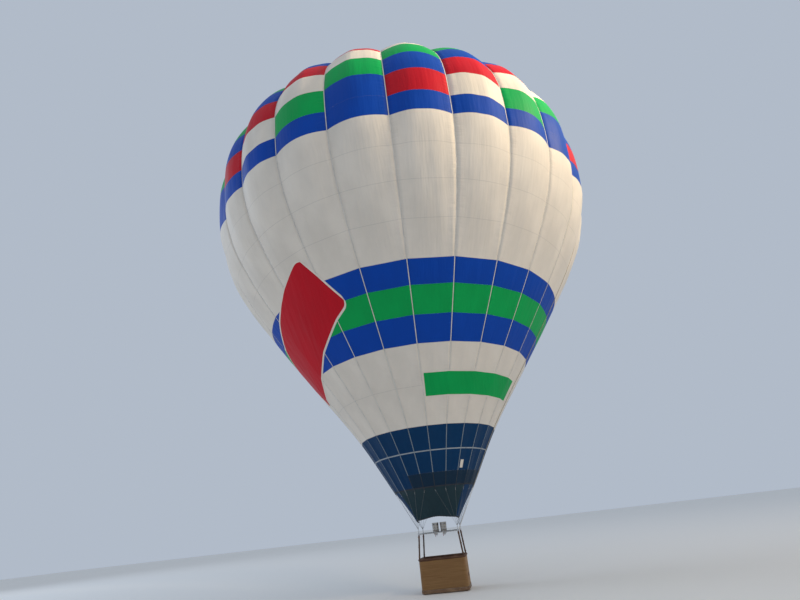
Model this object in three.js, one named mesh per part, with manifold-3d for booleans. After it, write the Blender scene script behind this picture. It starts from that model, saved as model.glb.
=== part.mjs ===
// Hot air balloon at full size, in millimetres, +Z up.
// The origin is the centre of the basket's underside, on the line of lift.
// Azimuths are measured from -Y towards +X.
import * as THREE from 'three';
import { mergeVertices } from 'three/addons/utils/BufferGeometryUtils.js';
import Module from 'manifold-3d';

const wasm = await Module();
wasm.setup();

// Driving dimensions of the envelope
const GORES = 24;                  // fabric panels round the envelope
const SHELL = 10;                  // thickness of a fabric panel
const EQUATOR_Z = 17530;           // height of the widest ring
const EQUATOR_R = 9130;            // radius over the load tapes there
const CROWN_RISE = 6610;           // from the equator to the crown
const VENT_EDGE_R = 2300;          // the opening in the crown
const CROWN_MIDDLE_R = 1200;       // a bend of the tapes over that opening
const PARACHUTE_R = 2560;          // the panel that closes that opening
const MOUTH = { r: 1665, z: 3610 };
const TAPE_WIDTH = 30;
const TAPE_THICK = 14;
const RING_TAPE_THICK = 12;
const TAPE_TAIL = 90;              // how far a tape hangs below the mouth
const CROWN_RING_R = 152;          // aluminium ring that the tapes end on
const CROWN_RING_BAR = 12;
const CROWN_RING_SIDES = 8;
const FIT = 0.3;                   // gap between pieces that touch
const PANEL_END_GAP = 1;           // gap from a panel's end to a ring

// Driving dimensions of the scoop and the rigging
const SCOOP_SEAM_GAP = 0.4;        // between two panels of the scoop, at the foot
const SCOOP_LAP = 15;              // how far the scoop runs up inside the mouth ring
const SCOOP_CORNER_Z = 2440;
const SCOOP_ARCH = 150;            // rise of the lower edge at its middle
const SCOOP_FOOT = { x: 830, y: 640, r: 985 };
const SCOOP_COLUMN = 15;           // degrees between two lines of a panel
const CABLE_R = 4;
const CABLE_SIDES = 6;
const CABLE_PITCH = 5;             // between two cables at the eye plate
const LINK = { width: 22, thick: 10, length: 46 };
const PLATE = { x: 12, y: 40, bridge: 10, hole_y: 20, play: 14, shoulder: 16, lap: 6 };

// Driving dimensions of the burner frame and the burners
const FRAME = { x: 780, y: 580, z: 2030, tube: 19, cross_x: 430, cross_tube: 16 };
const BOSS = { x: 50, y: 60, z: 60 };
const BLOCK = { side: 70, height: 60 };
const GIMBAL = { x: 360, y: 240, bar: 28 };
const PIN = { r: 8, sides: 16, past_boss: 20, past_gimbal: 10 };
const PIN_HOLE_R = (PIN.r + 1.5 * FIT) / Math.cos(Math.PI / PIN.sides);
const BURNER = { x: 160, base_r: 118, top_r: 140, height: 340, wall: 6, floor: 14, sides: 16 };
const STEM = { r: 30, lap: 10 };
const VALVES = { side: 110, height: 90 };
const YOKE = { x: 310, y: 120, thick: 16, beam: 40, clearance: 12 };
const KARABINER = { width: 44, length: 84, bar: 10, low_z: 26, round: 12, inner_round: 3 };

// Driving dimensions of the basket
const BASKET = { x: 900, y: 650, corner: 110, wall: 40 };
const SKID = { height: 40, width: 70, length: 1640, pitch: 430, cross_x: 574, cross_width: 60 };
const FLOOR_THICK = 18;
const RIM = { z: 1140, r: 40, sides: 8 };
const TRIM = { low: 30, high: 150, thick: 8 };
const UPRIGHT = { r: 32, foot_x: 852, foot_y: 602, sides: 10 };
const FOOT_HOLE = { width: 170, height: 120, z: 480 };
const CYLINDER = { r: 160, height: 800, x: 685, y: 436, neck_r: 38, neck_height: 60, sides: 16 };
const CYLINDER_FOOT = { inset: 25, rise: 40 };
const CYLINDER_DOME = 70;          // height of the domed top
const CORNER_STEPS = 4;            // straight runs round a corner of the basket

// Colours and finishes
const finish = (color, roughness, metalness = 0) => ({ color, roughness, metalness });
const FINISH = {
  fabric: finish(0xe9e2d2, 0.75),
  tape: finish(0xd8d2c2, 0.8),
  scoop: finish(0x3a4656, 0.85),
  metal: finish(0xb9bcbf, 0.35, 0.9),
  steel: finish(0x8d9094, 0.4, 0.9),
  cable: finish(0x30343a, 0.6),
  leather: finish(0x4a2f1e, 0.7),
  wicker: finish(0x9a6b3c, 0.85),
  wood: finish(0xa98154, 0.7),
  jacket: finish(0x20365c, 0.9),
};

const balloon = new THREE.Group();

// Adds a named piece to the balloon.
function piece(name, geometry, look) {
  const mesh = new THREE.Mesh(geometry, new THREE.MeshStandardMaterial(FINISH[look]));
  mesh.name = name;
  balloon.add(mesh);
  return mesh;
}

// Joining and cutting of closed meshes
function solidOf(geometry) {
  const bare = geometry.clone();
  bare.deleteAttribute('normal');
  bare.deleteAttribute('uv');
  const merged = mergeVertices(bare, 1e-3);
  const mesh = new wasm.Mesh({
    numProp: 3,
    vertProperties: Float32Array.from(merged.attributes.position.array),
    triVerts: Uint32Array.from(merged.index.array),
  });
  return new wasm.Manifold(mesh);
}

function geometryOf(solid) {
  const mesh = solid.getMesh();
  const geometry = new THREE.BufferGeometry();
  geometry.setAttribute('position', new THREE.BufferAttribute(mesh.vertProperties, 3));
  geometry.setIndex(new THREE.BufferAttribute(mesh.triVerts, 1));
  return geometry;
}

const joined = (geometries) => geometries.map(solidOf).reduce((all, one) => all.add(one));
const cut = (solid, geometries) => geometries.map(solidOf).reduce((all, one) => all.subtract(one), solid);

// Small shape helpers
const rad = THREE.MathUtils.degToRad;
const at = (azimuth, r, z) => new THREE.Vector3(r * Math.sin(azimuth), -r * Math.cos(azimuth), z);
const along = (azimuth) => new THREE.Vector3(Math.cos(azimuth), Math.sin(azimuth), 0);
const box = (x, y, z, cx, cy, cz) => new THREE.BoxGeometry(x, y, z).translate(cx, cy, cz);

// A round bar from one point to another.
function bar(from, to, radius, sides = 8) {
  const way = new THREE.Vector3().subVectors(to, from);
  const shape = new THREE.CylinderGeometry(radius, radius, way.length(), sides);
  const turn = new THREE.Quaternion().setFromUnitVectors(new THREE.Vector3(0, 1, 0), way.normalize());
  return shape.applyQuaternion(turn).translate(...from.clone().lerp(to, 0.5).toArray());
}

// A closed section of [radius, height] points turned about the Z axis.
function turned(section, sides, startAzimuth = 0) {
  const points = section.map(([r, z]) => new THREE.Vector2(r, z));
  const shape = new THREE.LatheGeometry(points, sides, startAzimuth).rotateX(Math.PI / 2);
  return outward(shape);
}

// Turns the faces of a closed mesh outwards if they point inwards.
function outward(geometry) {
  const p = geometry.attributes.position;
  const index = geometry.index.array;
  const [a, b, c] = [new THREE.Vector3(), new THREE.Vector3(), new THREE.Vector3()];
  let volume = 0;
  for (let i = 0; i < index.length; i += 3) {
    a.fromBufferAttribute(p, index[i]);
    b.fromBufferAttribute(p, index[i + 1]);
    c.fromBufferAttribute(p, index[i + 2]);
    volume += a.dot(b.cross(c));
  }
  if (volume < 0) {
    for (let i = 0; i < index.length; i += 3) [index[i], index[i + 1]] = [index[i + 1], index[i]];
  }
  return geometry;
}

// A closed slab between two grids of points, rows upwards and columns towards growing azimuth.
function slab(outer, inner) {
  const rows = outer.length;
  const columns = outer[0].length;
  const positions = [...outer.flat(), ...inner.flat()].flatMap((point) => point.toArray());
  const o = (i, j) => i * columns + j;
  const n = (i, j) => rows * columns + i * columns + j;
  const faces = [];
  const quad = (a, b, c, d) => faces.push(a, b, c, a, c, d);
  for (let i = 0; i + 1 < rows; i += 1) {
    for (let j = 0; j + 1 < columns; j += 1) {
      quad(o(i, j), o(i, j + 1), o(i + 1, j + 1), o(i + 1, j));
      quad(n(i, j), n(i + 1, j), n(i + 1, j + 1), n(i, j + 1));
    }
    quad(o(i, 0), o(i + 1, 0), n(i + 1, 0), n(i, 0));
    quad(o(i + 1, columns - 1), o(i, columns - 1), n(i, columns - 1), n(i + 1, columns - 1));
  }
  for (let j = 0; j + 1 < columns; j += 1) {
    quad(o(0, j + 1), o(0, j), n(0, j), n(0, j + 1));
    quad(o(rows - 1, j), o(rows - 1, j + 1), n(rows - 1, j + 1), n(rows - 1, j));
  }
  const geometry = new THREE.BufferGeometry();
  geometry.setAttribute('position', new THREE.Float32BufferAttribute(positions, 3));
  geometry.setIndex(faces);
  return geometry;
}

// The envelope's profile, from the mouth up. Columns: height, radius, sag of a panel as a share of its chord.
const LOWER_ROWS = [
  { z: MOUTH.z, r: MOUTH.r, sag: 0 },
  { z: 5720, r: 2930, sag: 0 },
  { z: 8350, r: 4870, sag: 0.008 },
  { z: 10900, r: 6750, sag: 0.03 },
  { z: 12610, r: 7870, sag: 0.07 },
  { z: 14220, r: 8660, sag: 0.1 },
  { z: 15620, r: 9010, sag: 0.13 },
  { z: EQUATOR_Z, r: EQUATOR_R, sag: 0.14 },
];
const VENT_EDGE_ANGLE = Math.acos(VENT_EDGE_R / EQUATOR_R);
const crownRow = (angle, sag) => ({
  z: EQUATOR_Z + CROWN_RISE * Math.sin(angle),
  r: EQUATOR_R * Math.cos(angle),
  sag,
});
const UPPER_ROWS = [
  crownRow(rad(19), 0.14),
  crownRow(rad(37), 0.14),
  crownRow(rad(53), 0.13),
  crownRow(rad(66), 0.1),
  crownRow(VENT_EDGE_ANGLE, 0),
];
const PANEL_ROWS = [...LOWER_ROWS, ...UPPER_ROWS];
const TAPE_END_R = CROWN_RING_R + CROWN_RING_BAR + FIT;
const crownAt = (r) => crownRow(Math.acos(r / EQUATOR_R), 0);
const CROWN_ROWS = [crownAt(CROWN_MIDDLE_R), crownAt(TAPE_END_R)];

// Offsets a profile along its own normals, keeping the distance on each straight run.
function offsetRows(rows, distance) {
  const normals = rows.slice(1).map((row, i) => {
    const run = new THREE.Vector2(row.r - rows[i].r, row.z - rows[i].z).normalize();
    return new THREE.Vector2(run.y, -run.x);
  });
  return rows.map((row, i) => {
    const before = normals[Math.max(i - 1, 0)];
    const after = normals[Math.min(i, normals.length - 1)];
    const normal = before.clone().add(after).normalize();
    const reach = distance / normal.dot(before);
    return { r: row.r + normal.x * reach, z: row.z + normal.y * reach, sag: row.sag, normal };
  });
}

// Moves a point of the profile towards its neighbour.
function moved(row, towards, distance) {
  const run = new THREE.Vector2(towards.r - row.r, towards.z - row.z).normalize();
  return { ...row, r: row.r + run.x * distance, z: row.z + run.y * distance };
}

const tapeAzimuth = (k) => ((k - 0.5) * 2 * Math.PI) / GORES;

// One fabric panel between the tapes k and k + 1, bulged between them.
function panel(k) {
  const endGap = TAPE_WIDTH / 2 + PANEL_END_GAP;
  const last = PANEL_ROWS.length - 1;
  const rows = PANEL_ROWS.map((row) => ({ ...row }));
  rows[0] = moved(PANEL_ROWS[0], PANEL_ROWS[1], endGap);
  rows[last] = moved(PANEL_ROWS[last], PANEL_ROWS[last - 1], endGap);
  const edge = TAPE_WIDTH / 2 + FIT;
  const shares = [0, 0.25, 0.5, 0.75, 1];
  const [left, right] = [tapeAzimuth(k), tapeAzimuth(k + 1)];
  const middle = (left + right) / 2;
  const out = (row, azimuth) => at(azimuth, row.normal.x, row.normal.y);
  const surface = (side) => offsetRows(rows, (side * SHELL) / 2).map((row) => {
    const [a, b] = [at(left, row.r, row.z), at(right, row.r, row.z)];
    const inset = edge / (row.r * Math.sin(right - left));
    const chord = a.distanceTo(b) * (1 - 2 * inset);
    return shares.map((share) => {
      const slope = 4 * row.sag * Math.abs(1 - 2 * share);
      const extra = side < 0 ? SHELL * (Math.hypot(1, slope) - 1) : 0;
      const azimuth = THREE.MathUtils.lerp(left, right, share);
      return a.clone()
        .lerp(b, THREE.MathUtils.lerp(inset, 1 - inset, share))
        .addScaledVector(out(row, middle), 4 * row.sag * chord * share * (1 - share))
        .addScaledVector(out(row, azimuth), -extra);
    });
  });
  return slab(surface(1), surface(-1));
}

for (let k = 0; k < GORES; k += 1) {
  piece(`gore_${String(k + 1).padStart(2, '0')}`, panel(k), 'fabric');
}

// The load tapes, joined by the mouth tape and the vent edge tape
const TAIL_ROW = moved(PANEL_ROWS[0], PANEL_ROWS[1], -TAPE_TAIL);
const TAPE_ROWS = [TAIL_ROW, ...PANEL_ROWS, ...CROWN_ROWS];

function tape(k) {
  const azimuth = tapeAzimuth(k);
  const side = along(azimuth).multiplyScalar(TAPE_WIDTH / 2);
  const face = (distance) => offsetRows(TAPE_ROWS, distance).map((row) => {
    const point = at(azimuth, row.r, row.z);
    return [point.clone().sub(side), point.clone().add(side)];
  });
  return slab(face(TAPE_THICK / 2), face(-TAPE_THICK / 2));
}

// A ring of tape round the envelope, sewn inside the thickness of the load tapes
function ringTape(rows) {
  const outer = offsetRows(rows, RING_TAPE_THICK / 2);
  const inner = offsetRows(rows, -RING_TAPE_THICK / 2).reverse();
  const section = [...outer, ...inner, outer[0]].map(({ r, z }) => [r, z]);
  return turned(section, GORES, tapeAzimuth(0));
}

const lastPanelRow = PANEL_ROWS.length - 1;
const VENT_ROW = PANEL_ROWS[lastPanelRow];
const half = TAPE_WIDTH / 2;
const tapeCage = joined([
  ringTape([moved(PANEL_ROWS[0], TAIL_ROW, half), moved(PANEL_ROWS[0], PANEL_ROWS[1], half)]),
  ringTape([
    moved(VENT_ROW, PANEL_ROWS[lastPanelRow - 1], half),
    VENT_ROW,
    moved(VENT_ROW, CROWN_ROWS[0], half),
  ]),
  ...Array.from({ length: GORES }, (_, k) => tape(k)),
]);
piece('load_tapes', geometryOf(tapeCage), 'tape');

// The crown ring, a little above the tapes' middle so that the parachute lies flat under it
const CROWN_Z = crownAt(TAPE_END_R).z;
const crownRingSection = Array.from({ length: CROWN_RING_SIDES + 1 }, (_, i) => {
  const turn = (i * 2 * Math.PI) / CROWN_RING_SIDES;
  return [
    CROWN_RING_R + CROWN_RING_BAR * Math.cos(turn),
    CROWN_Z + CROWN_RING_BAR / 2 + CROWN_RING_BAR * Math.sin(turn),
  ];
});
piece('crown_ring', turned(crownRingSection, GORES, tapeAzimuth(0)), 'metal');

// The parachute vent: a shallow dome that lies under the crown opening
function parachute() {
  const edge = moved(PANEL_ROWS[lastPanelRow], PANEL_ROWS[lastPanelRow - 1], PARACHUTE_R - VENT_EDGE_R);
  const rows = [edge, PANEL_ROWS[lastPanelRow], ...CROWN_ROWS];
  const top = offsetRows(rows, -(TAPE_THICK / 2 + FIT));
  const under = offsetRows(rows, -(TAPE_THICK / 2 + FIT + SHELL));
  const centreTop = [0, top[top.length - 1].z];
  const centreUnder = [0, under[under.length - 1].z];
  const pair = ({ r, z }) => [r, z];
  const section = [centreUnder, ...under.reverse().map(pair), ...top.map(pair), centreTop];
  return turned(section, GORES, tapeAzimuth(0));
}
piece('parachute_vent', parachute(), 'fabric');

// The scoop: a fabric skirt round the front half of the mouth, inside the cables.
// Columns: name, azimuths of its two seams in degrees.
const SCOOP_PANELS = [
  { name: 'scoop_left', from: -97.5, to: -52.5 },
  { name: 'scoop_front', from: -52.5, to: 52.5 },
  { name: 'scoop_right', from: 52.5, to: 97.5 },
];

function scoopPanel({ from, to }) {
  const run = new THREE.Vector2(PANEL_ROWS[1].r - MOUTH.r, PANEL_ROWS[1].z - MOUTH.z).normalize();
  const lapped = TAPE_THICK / 2 + FIT;
  const trim = SCOOP_SEAM_GAP / SCOOP_FOOT.r / 2;
  const columns = (to - from) / SCOOP_COLUMN;
  const profile = (azimuth, distance) => {
    const footR = Math.min(
      SCOOP_FOOT.x / Math.abs(Math.sin(azimuth)),
      SCOOP_FOOT.y / Math.abs(Math.cos(azimuth)),
      SCOOP_FOOT.r,
    );
    const arch = SCOOP_ARCH * Math.max(0, Math.cos(azimuth)) ** 2;
    const rows = [
      { r: footR, z: SCOOP_CORNER_Z + arch },
      { r: MOUTH.r - run.x * TAPE_TAIL, z: MOUTH.z - run.y * TAPE_TAIL },
      { r: MOUTH.r + run.x * SCOOP_LAP, z: MOUTH.z + run.y * SCOOP_LAP },
    ];
    return offsetRows(rows, -(lapped + distance)).map((row) => at(azimuth, row.r, row.z));
  };
  const grid = (distance) => {
    const lines = Array.from({ length: columns + 1 }, (_, j) => {
      const share = j / columns;
      return profile(THREE.MathUtils.lerp(rad(from) + trim, rad(to) - trim, share), distance);
    });
    return [0, 1, 2].map((i) => lines.map((line) => line[i]));
  };
  return slab(grid(0), grid(SHELL));
}
for (const cloth of SCOOP_PANELS) piece(cloth.name, scoopPanel(cloth), 'scoop');

// Heights at a corner of the burner frame, from the frame up
const BLOCK_TOP = FRAME.z + BLOCK.height / 2;
const LOW_BAR_Z = BLOCK_TOP + KARABINER.low_z;
const HIGH_BAR_Z = LOW_BAR_Z + KARABINER.length - KARABINER.bar;
const lugHole = { low: LOW_BAR_Z - PLATE.play, high: LOW_BAR_Z + KARABINER.bar / 2 + FIT };
const cableHole = { low: HIGH_BAR_Z - KARABINER.bar / 2 - FIT, high: HIGH_BAR_Z + PLATE.play };
const CABLE_FOOT_Z = cableHole.high + PLATE.shoulder;

// Names of the four corners, with the signs of x and y
const CORNERS = [
  { name: 'front_right', x: 1, y: -1, firstTape: 1 },
  { name: 'back_right', x: 1, y: 1, firstTape: 7 },
  { name: 'back_left', x: -1, y: 1, firstTape: 13 },
  { name: 'front_left', x: -1, y: -1, firstTape: 19 },
];
const CABLES_PER_CORNER = GORES / CORNERS.length;

// Six suspension cables that meet in one eye plate above a karabiner
function cables(corner) {
  const [x, y] = [corner.x * FRAME.x, corner.y * FRAME.y];
  const low = cableHole.low - PLATE.bridge;
  const high = CABLE_FOOT_Z + PLATE.lap;
  const hole = box(
    2 * PLATE.x, PLATE.hole_y, cableHole.high - cableHole.low,
    x, y, (cableHole.high + cableHole.low) / 2,
  );
  const eye = cut(solidOf(box(PLATE.x, PLATE.y, high - low, x, y, (high + low) / 2)), [hole]);
  const run = new THREE.Vector2(PANEL_ROWS[1].r - MOUTH.r, PANEL_ROWS[1].z - MOUTH.z).normalize();
  const parts = [];
  for (let i = 0; i < CABLES_PER_CORNER; i += 1) {
    const azimuth = tapeAzimuth(corner.firstTape + i);
    const linkTop = TAPE_TAIL + FIT;
    const linkMiddle = linkTop + LINK.length / 2;
    const top = at(azimuth, MOUTH.r - run.x * linkMiddle, MOUTH.z - run.y * linkMiddle);
    const link = box(LINK.width, LINK.thick, LINK.length, 0, 0, 0)
      .rotateX(Math.atan2(run.x, run.y))
      .rotateZ(azimuth)
      .translate(...top.toArray());
    const spread = (i - (CABLES_PER_CORNER - 1) / 2) * CABLE_PITCH;
    const foot = new THREE.Vector3(x, y + spread * corner.x, CABLE_FOOT_Z);
    parts.push(link, bar(foot, top, CABLE_R, CABLE_SIDES));
  }
  return geometryOf(parts.map(solidOf).reduce((all, one) => all.add(one), eye));
}

// A steel link ring between the frame's lug and the cables' eye
function karabiner(corner) {
  const outline = (width, length, radius, Form) => {
    const [w, l] = [width / 2, length / 2];
    const form = new Form();
    form.moveTo(-w + radius, -l);
    form.lineTo(w - radius, -l);
    form.absarc(w - radius, -l + radius, radius, -Math.PI / 2, 0, false);
    form.lineTo(w, l - radius);
    form.absarc(w - radius, l - radius, radius, 0, Math.PI / 2, false);
    form.lineTo(-w + radius, l);
    form.absarc(-w + radius, l - radius, radius, Math.PI / 2, Math.PI, false);
    form.lineTo(-w, -l + radius);
    form.absarc(-w + radius, -l + radius, radius, Math.PI, 1.5 * Math.PI, false);
    return form;
  };
  const { width: fullWidth, length: fullLength, bar: thick, round, inner_round: innerRound } = KARABINER;
  const ring = outline(fullWidth, fullLength, round, THREE.Shape);
  ring.holes.push(outline(fullWidth - 2 * thick, fullLength - 2 * thick, innerRound, THREE.Path));
  const shape = new THREE.ExtrudeGeometry(ring, { depth: thick, bevelEnabled: false, curveSegments: 2 });
  return shape
    .translate(0, 0, -thick / 2)
    .rotateX(Math.PI / 2)
    .translate(corner.x * FRAME.x, corner.y * FRAME.y, (LOW_BAR_Z + HIGH_BAR_Z) / 2);
}

for (const corner of CORNERS) {
  piece(`cables_${corner.name}`, cables(corner), 'cable');
  piece(`karabiner_${corner.name}`, karabiner(corner), 'steel');
}

// The burner frame: four tubes, corner blocks with lugs, and two cross tubes with pin bosses
function burnerFrame() {
  const { x, y, z, tube, cross_x: crossX, cross_tube: crossTube } = FRAME;
  const point = (px, py) => new THREE.Vector3(px, py, z);
  const parts = [];
  for (const side of [-1, 1]) {
    parts.push(bar(point(-x, side * y), point(x, side * y), tube));
    parts.push(bar(point(side * x, -y), point(side * x, y), tube));
    parts.push(bar(point(side * crossX, -y), point(side * crossX, y), crossTube));
    parts.push(box(BOSS.x, BOSS.y, BOSS.z, side * crossX, 0, z));
  }
  for (const corner of CORNERS) {
    const [cx, cy] = [corner.x * x, corner.y * y];
    const lugTop = lugHole.high + PLATE.bridge;
    parts.push(box(BLOCK.side, BLOCK.side, BLOCK.height, cx, cy, z));
    parts.push(box(PLATE.x, PLATE.y, lugTop - z, cx, cy, (lugTop + z) / 2));
  }
  const holes = CORNERS.map((corner) => box(
    2 * PLATE.x, PLATE.hole_y, lugHole.high - lugHole.low,
    corner.x * x, corner.y * y, (lugHole.high + lugHole.low) / 2,
  ));
  const reach = crossX + BOSS.x;
  const pinHole = bar(point(-reach, 0), point(reach, 0), PIN_HOLE_R, PIN.sides);
  return geometryOf(cut(joined(parts), [...holes, pinHole]));
}
piece('burner_frame', burnerFrame(), 'metal');

// The gimbal frame, with a pin at each end along X and a hole at each side along Y
function gimbalFrame() {
  const { x, y, bar: side } = GIMBAL;
  const z = FRAME.z;
  const point = (px, py) => new THREE.Vector3(px, py, z);
  const parts = [];
  for (const sign of [-1, 1]) {
    parts.push(box(2 * x + side, side, side, 0, sign * y, z));
    parts.push(box(side, 2 * y + side, side, sign * x, 0, z));
    parts.push(bar(point(sign * x, 0), point(sign * (FRAME.cross_x + PIN.past_boss), 0), PIN.r, PIN.sides));
  }
  const hole = bar(point(0, -y - side), point(0, y + side), PIN_HOLE_R, PIN.sides);
  return geometryOf(cut(joined(parts), [hole]));
}
piece('gimbal_frame', gimbalFrame(), 'metal');

// The yoke that carries both burners, with a pin at each side along Y
function burnerYoke() {
  const z = FRAME.z;
  const beamHalf = GIMBAL.y - GIMBAL.bar / 2 - YOKE.clearance;
  const pinEnd = GIMBAL.y + PIN.past_gimbal;
  const parts = [
    box(2 * YOKE.x, YOKE.y, YOKE.thick, 0, 0, z),
    box(YOKE.beam, 2 * beamHalf, YOKE.beam, 0, 0, z),
    bar(new THREE.Vector3(0, -pinEnd, z), new THREE.Vector3(0, pinEnd, z), PIN.r, PIN.sides),
  ];
  const holes = [-1, 1].map((side) => bar(
    new THREE.Vector3(side * BURNER.x, 0, z - YOKE.thick),
    new THREE.Vector3(side * BURNER.x, 0, z + YOKE.thick),
    STEM.r + 2 * FIT,
    PIN.sides,
  ));
  return geometryOf(cut(joined(parts), holes));
}
piece('burner_yoke', burnerYoke(), 'metal');

// One burner: an open can on a base, a stem through the yoke and a valve block under it
function burner(side) {
  const base = FRAME.z + YOKE.thick / 2 + FIT;
  const top = base + BURNER.height;
  const { base_r: baseR, top_r: topR, wall, sides } = BURNER;
  const floor = base + BURNER.floor;
  const can = turned(
    [[0, base], [baseR, base], [topR, top], [topR - wall, top], [baseR - wall, floor], [0, floor]],
    sides,
  );
  const stemFoot = FRAME.z - YOKE.thick / 2 - FIT;
  const shift = new THREE.Vector3(side * BURNER.x, 0, 0);
  const stem = bar(
    new THREE.Vector3(0, 0, stemFoot - STEM.lap),
    new THREE.Vector3(0, 0, base + BURNER.floor / 2),
    STEM.r,
    PIN.sides,
  );
  const valves = box(VALVES.side, VALVES.side, VALVES.height, 0, 0, stemFoot - VALVES.height / 2);
  return geometryOf(joined([can, stem, valves].map((shape) => shape.translate(...shift.toArray()))));
}
piece('burner_left', burner(-1), 'steel');
piece('burner_right', burner(1), 'steel');

// A padded upright from the basket's rim to a corner block of the burner frame
function upright(corner) {
  const [low, high] = [RIM.z + RIM.r + FIT, FRAME.z - BLOCK.height / 2 - FIT];
  const sides = UPRIGHT.sides;
  const ring = (x, y, z) => Array.from({ length: sides }, (_, i) => {
    const turn = (i * 2 * Math.PI) / sides;
    return new THREE.Vector3(x + UPRIGHT.r * Math.cos(turn), y + UPRIGHT.r * Math.sin(turn), z);
  });
  const foot = ring(corner.x * UPRIGHT.foot_x, corner.y * UPRIGHT.foot_y, low);
  const head = ring(corner.x * FRAME.x, corner.y * FRAME.y, high);
  const positions = [...foot, ...head].flatMap((point) => point.toArray());
  const faces = [];
  for (let i = 0; i < sides; i += 1) {
    const next = (i + 1) % sides;
    faces.push(i, next, sides + next, i, sides + next, sides + i);
  }
  for (let i = 1; i + 1 < sides; i += 1) faces.push(0, i + 1, i, sides, sides + i, sides + i + 1);
  const geometry = new THREE.BufferGeometry();
  geometry.setAttribute('position', new THREE.Float32BufferAttribute(positions, 3));
  geometry.setIndex(faces);
  return geometry;
}
for (const corner of CORNERS) piece(`upright_${corner.name}`, upright(corner), 'leather');

// The basket's floor and its runners
const FLOOR_Z = SKID.height + FIT;
const WALL_Z = FLOOR_Z + FLOOR_THICK + FIT;

function roundedPlan(grow, Form = THREE.Shape) {
  const [x, y, r] = [BASKET.x + grow, BASKET.y + grow, BASKET.corner + grow];
  const form = new Form();
  form.moveTo(-x + r, -y);
  form.lineTo(x - r, -y);
  form.absarc(x - r, -y + r, r, -Math.PI / 2, 0, false);
  form.lineTo(x, y - r);
  form.absarc(x - r, y - r, r, 0, Math.PI / 2, false);
  form.lineTo(-x + r, y);
  form.absarc(-x + r, y - r, r, Math.PI / 2, Math.PI, false);
  form.lineTo(-x, -y + r);
  form.absarc(-x + r, -y + r, r, Math.PI, 1.5 * Math.PI, false);
  return form;
}
const raised = (shape, low, high) => new THREE.ExtrudeGeometry(shape, {
  depth: high - low,
  bevelEnabled: false,
  curveSegments: CORNER_STEPS,
}).translate(0, 0, low);

piece('basket_floor', raised(roundedPlan(0), FLOOR_Z, FLOOR_Z + FLOOR_THICK), 'wood');

function skids() {
  const parts = [-1, 0, 1].map((row) => box(
    SKID.length, SKID.width, SKID.height, 0, row * SKID.pitch, SKID.height / 2,
  ));
  for (const side of [-1, 1]) {
    parts.push(box(
      SKID.cross_width, 2 * SKID.pitch, SKID.height / 2, side * SKID.cross_x, 0, SKID.height * 0.75,
    ));
  }
  return geometryOf(joined(parts));
}
piece('basket_skids', skids(), 'wood');

// The basket's walls: front and back panels turn the corners, side panels stand between them
const WALL_TOP = RIM.z - RIM.r - FIT;

function longWall(sign) {
  const { x, y, corner: r, wall } = BASKET;
  const shape = new THREE.Shape();
  shape.moveTo(-x, -y + r);
  shape.absarc(-x + r, -y + r, r, Math.PI, 1.5 * Math.PI, false);
  shape.lineTo(x - r, -y);
  shape.absarc(x - r, -y + r, r, 1.5 * Math.PI, 2 * Math.PI, false);
  shape.lineTo(x - wall, -y + r);
  shape.absarc(x - r, -y + r, r - wall, 0, -Math.PI / 2, true);
  shape.lineTo(-x + r, -y + wall);
  shape.absarc(-x + r, -y + r, r - wall, -Math.PI / 2, -Math.PI, true);
  const geometry = raised(shape, WALL_Z, WALL_TOP);
  return sign < 0 ? geometry : geometry.rotateZ(Math.PI);
}
piece('basket_wall_front', longWall(-1), 'wicker');
piece('basket_wall_back', longWall(1), 'wicker');

function sideWall(sign) {
  const length = 2 * (BASKET.y - BASKET.corner - FIT);
  const x = sign * (BASKET.x - BASKET.wall / 2);
  const wall = solidOf(box(BASKET.wall, length, WALL_TOP - WALL_Z, x, 0, (WALL_TOP + WALL_Z) / 2));
  const hole = box(2 * BASKET.wall, FOOT_HOLE.width, FOOT_HOLE.height, x, 0, FOOT_HOLE.z);
  return geometryOf(cut(wall, [hole]));
}
piece('basket_wall_left', sideWall(-1), 'wicker');
piece('basket_wall_right', sideWall(1), 'wicker');

// The leather rim and the hide trim round the foot: a section swept round the basket's plan
function swept(grow, section) {
  const points = roundedPlan(grow).getPoints(CORNER_STEPS);
  points.pop();
  const count = points.length;
  const positions = [];
  points.forEach((point, i) => {
    const before = points[(i + count - 1) % count];
    const after = points[(i + 1) % count];
    const normal = (a, b) => new THREE.Vector2(b.y - a.y, a.x - b.x).normalize();
    const [one, two] = [normal(before, point), normal(point, after)];
    const mitre = one.clone().add(two).normalize();
    const reach = 1 / mitre.dot(one);
    for (const [out, z] of section) {
      positions.push(point.x + mitre.x * out * reach, point.y + mitre.y * out * reach, z);
    }
  });
  const faces = [];
  const size = section.length;
  for (let i = 0; i < count; i += 1) {
    for (let j = 0; j < size; j += 1) {
      const [a, b] = [i * size + j, i * size + ((j + 1) % size)];
      const [c, d] = [((i + 1) % count) * size + j, ((i + 1) % count) * size + ((j + 1) % size)];
      faces.push(a, c, d, a, d, b);
    }
  }
  const geometry = new THREE.BufferGeometry();
  geometry.setAttribute('position', new THREE.Float32BufferAttribute(positions, 3));
  geometry.setIndex(faces);
  return outward(geometry);
}
const rimSection = Array.from({ length: RIM.sides }, (_, i) => {
  const turn = ((i + 0.5) * 2 * Math.PI) / RIM.sides;
  const r = RIM.r / Math.cos(Math.PI / RIM.sides);
  return [r * Math.cos(turn), RIM.z + r * Math.sin(turn)];
});
piece('basket_rim', swept(-BASKET.wall / 2, rimSection), 'leather');
piece('basket_trim', swept(FIT, [
  [0, TRIM.low],
  [TRIM.thick, TRIM.low],
  [TRIM.thick, TRIM.high],
  [0, TRIM.high],
]), 'leather');

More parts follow.
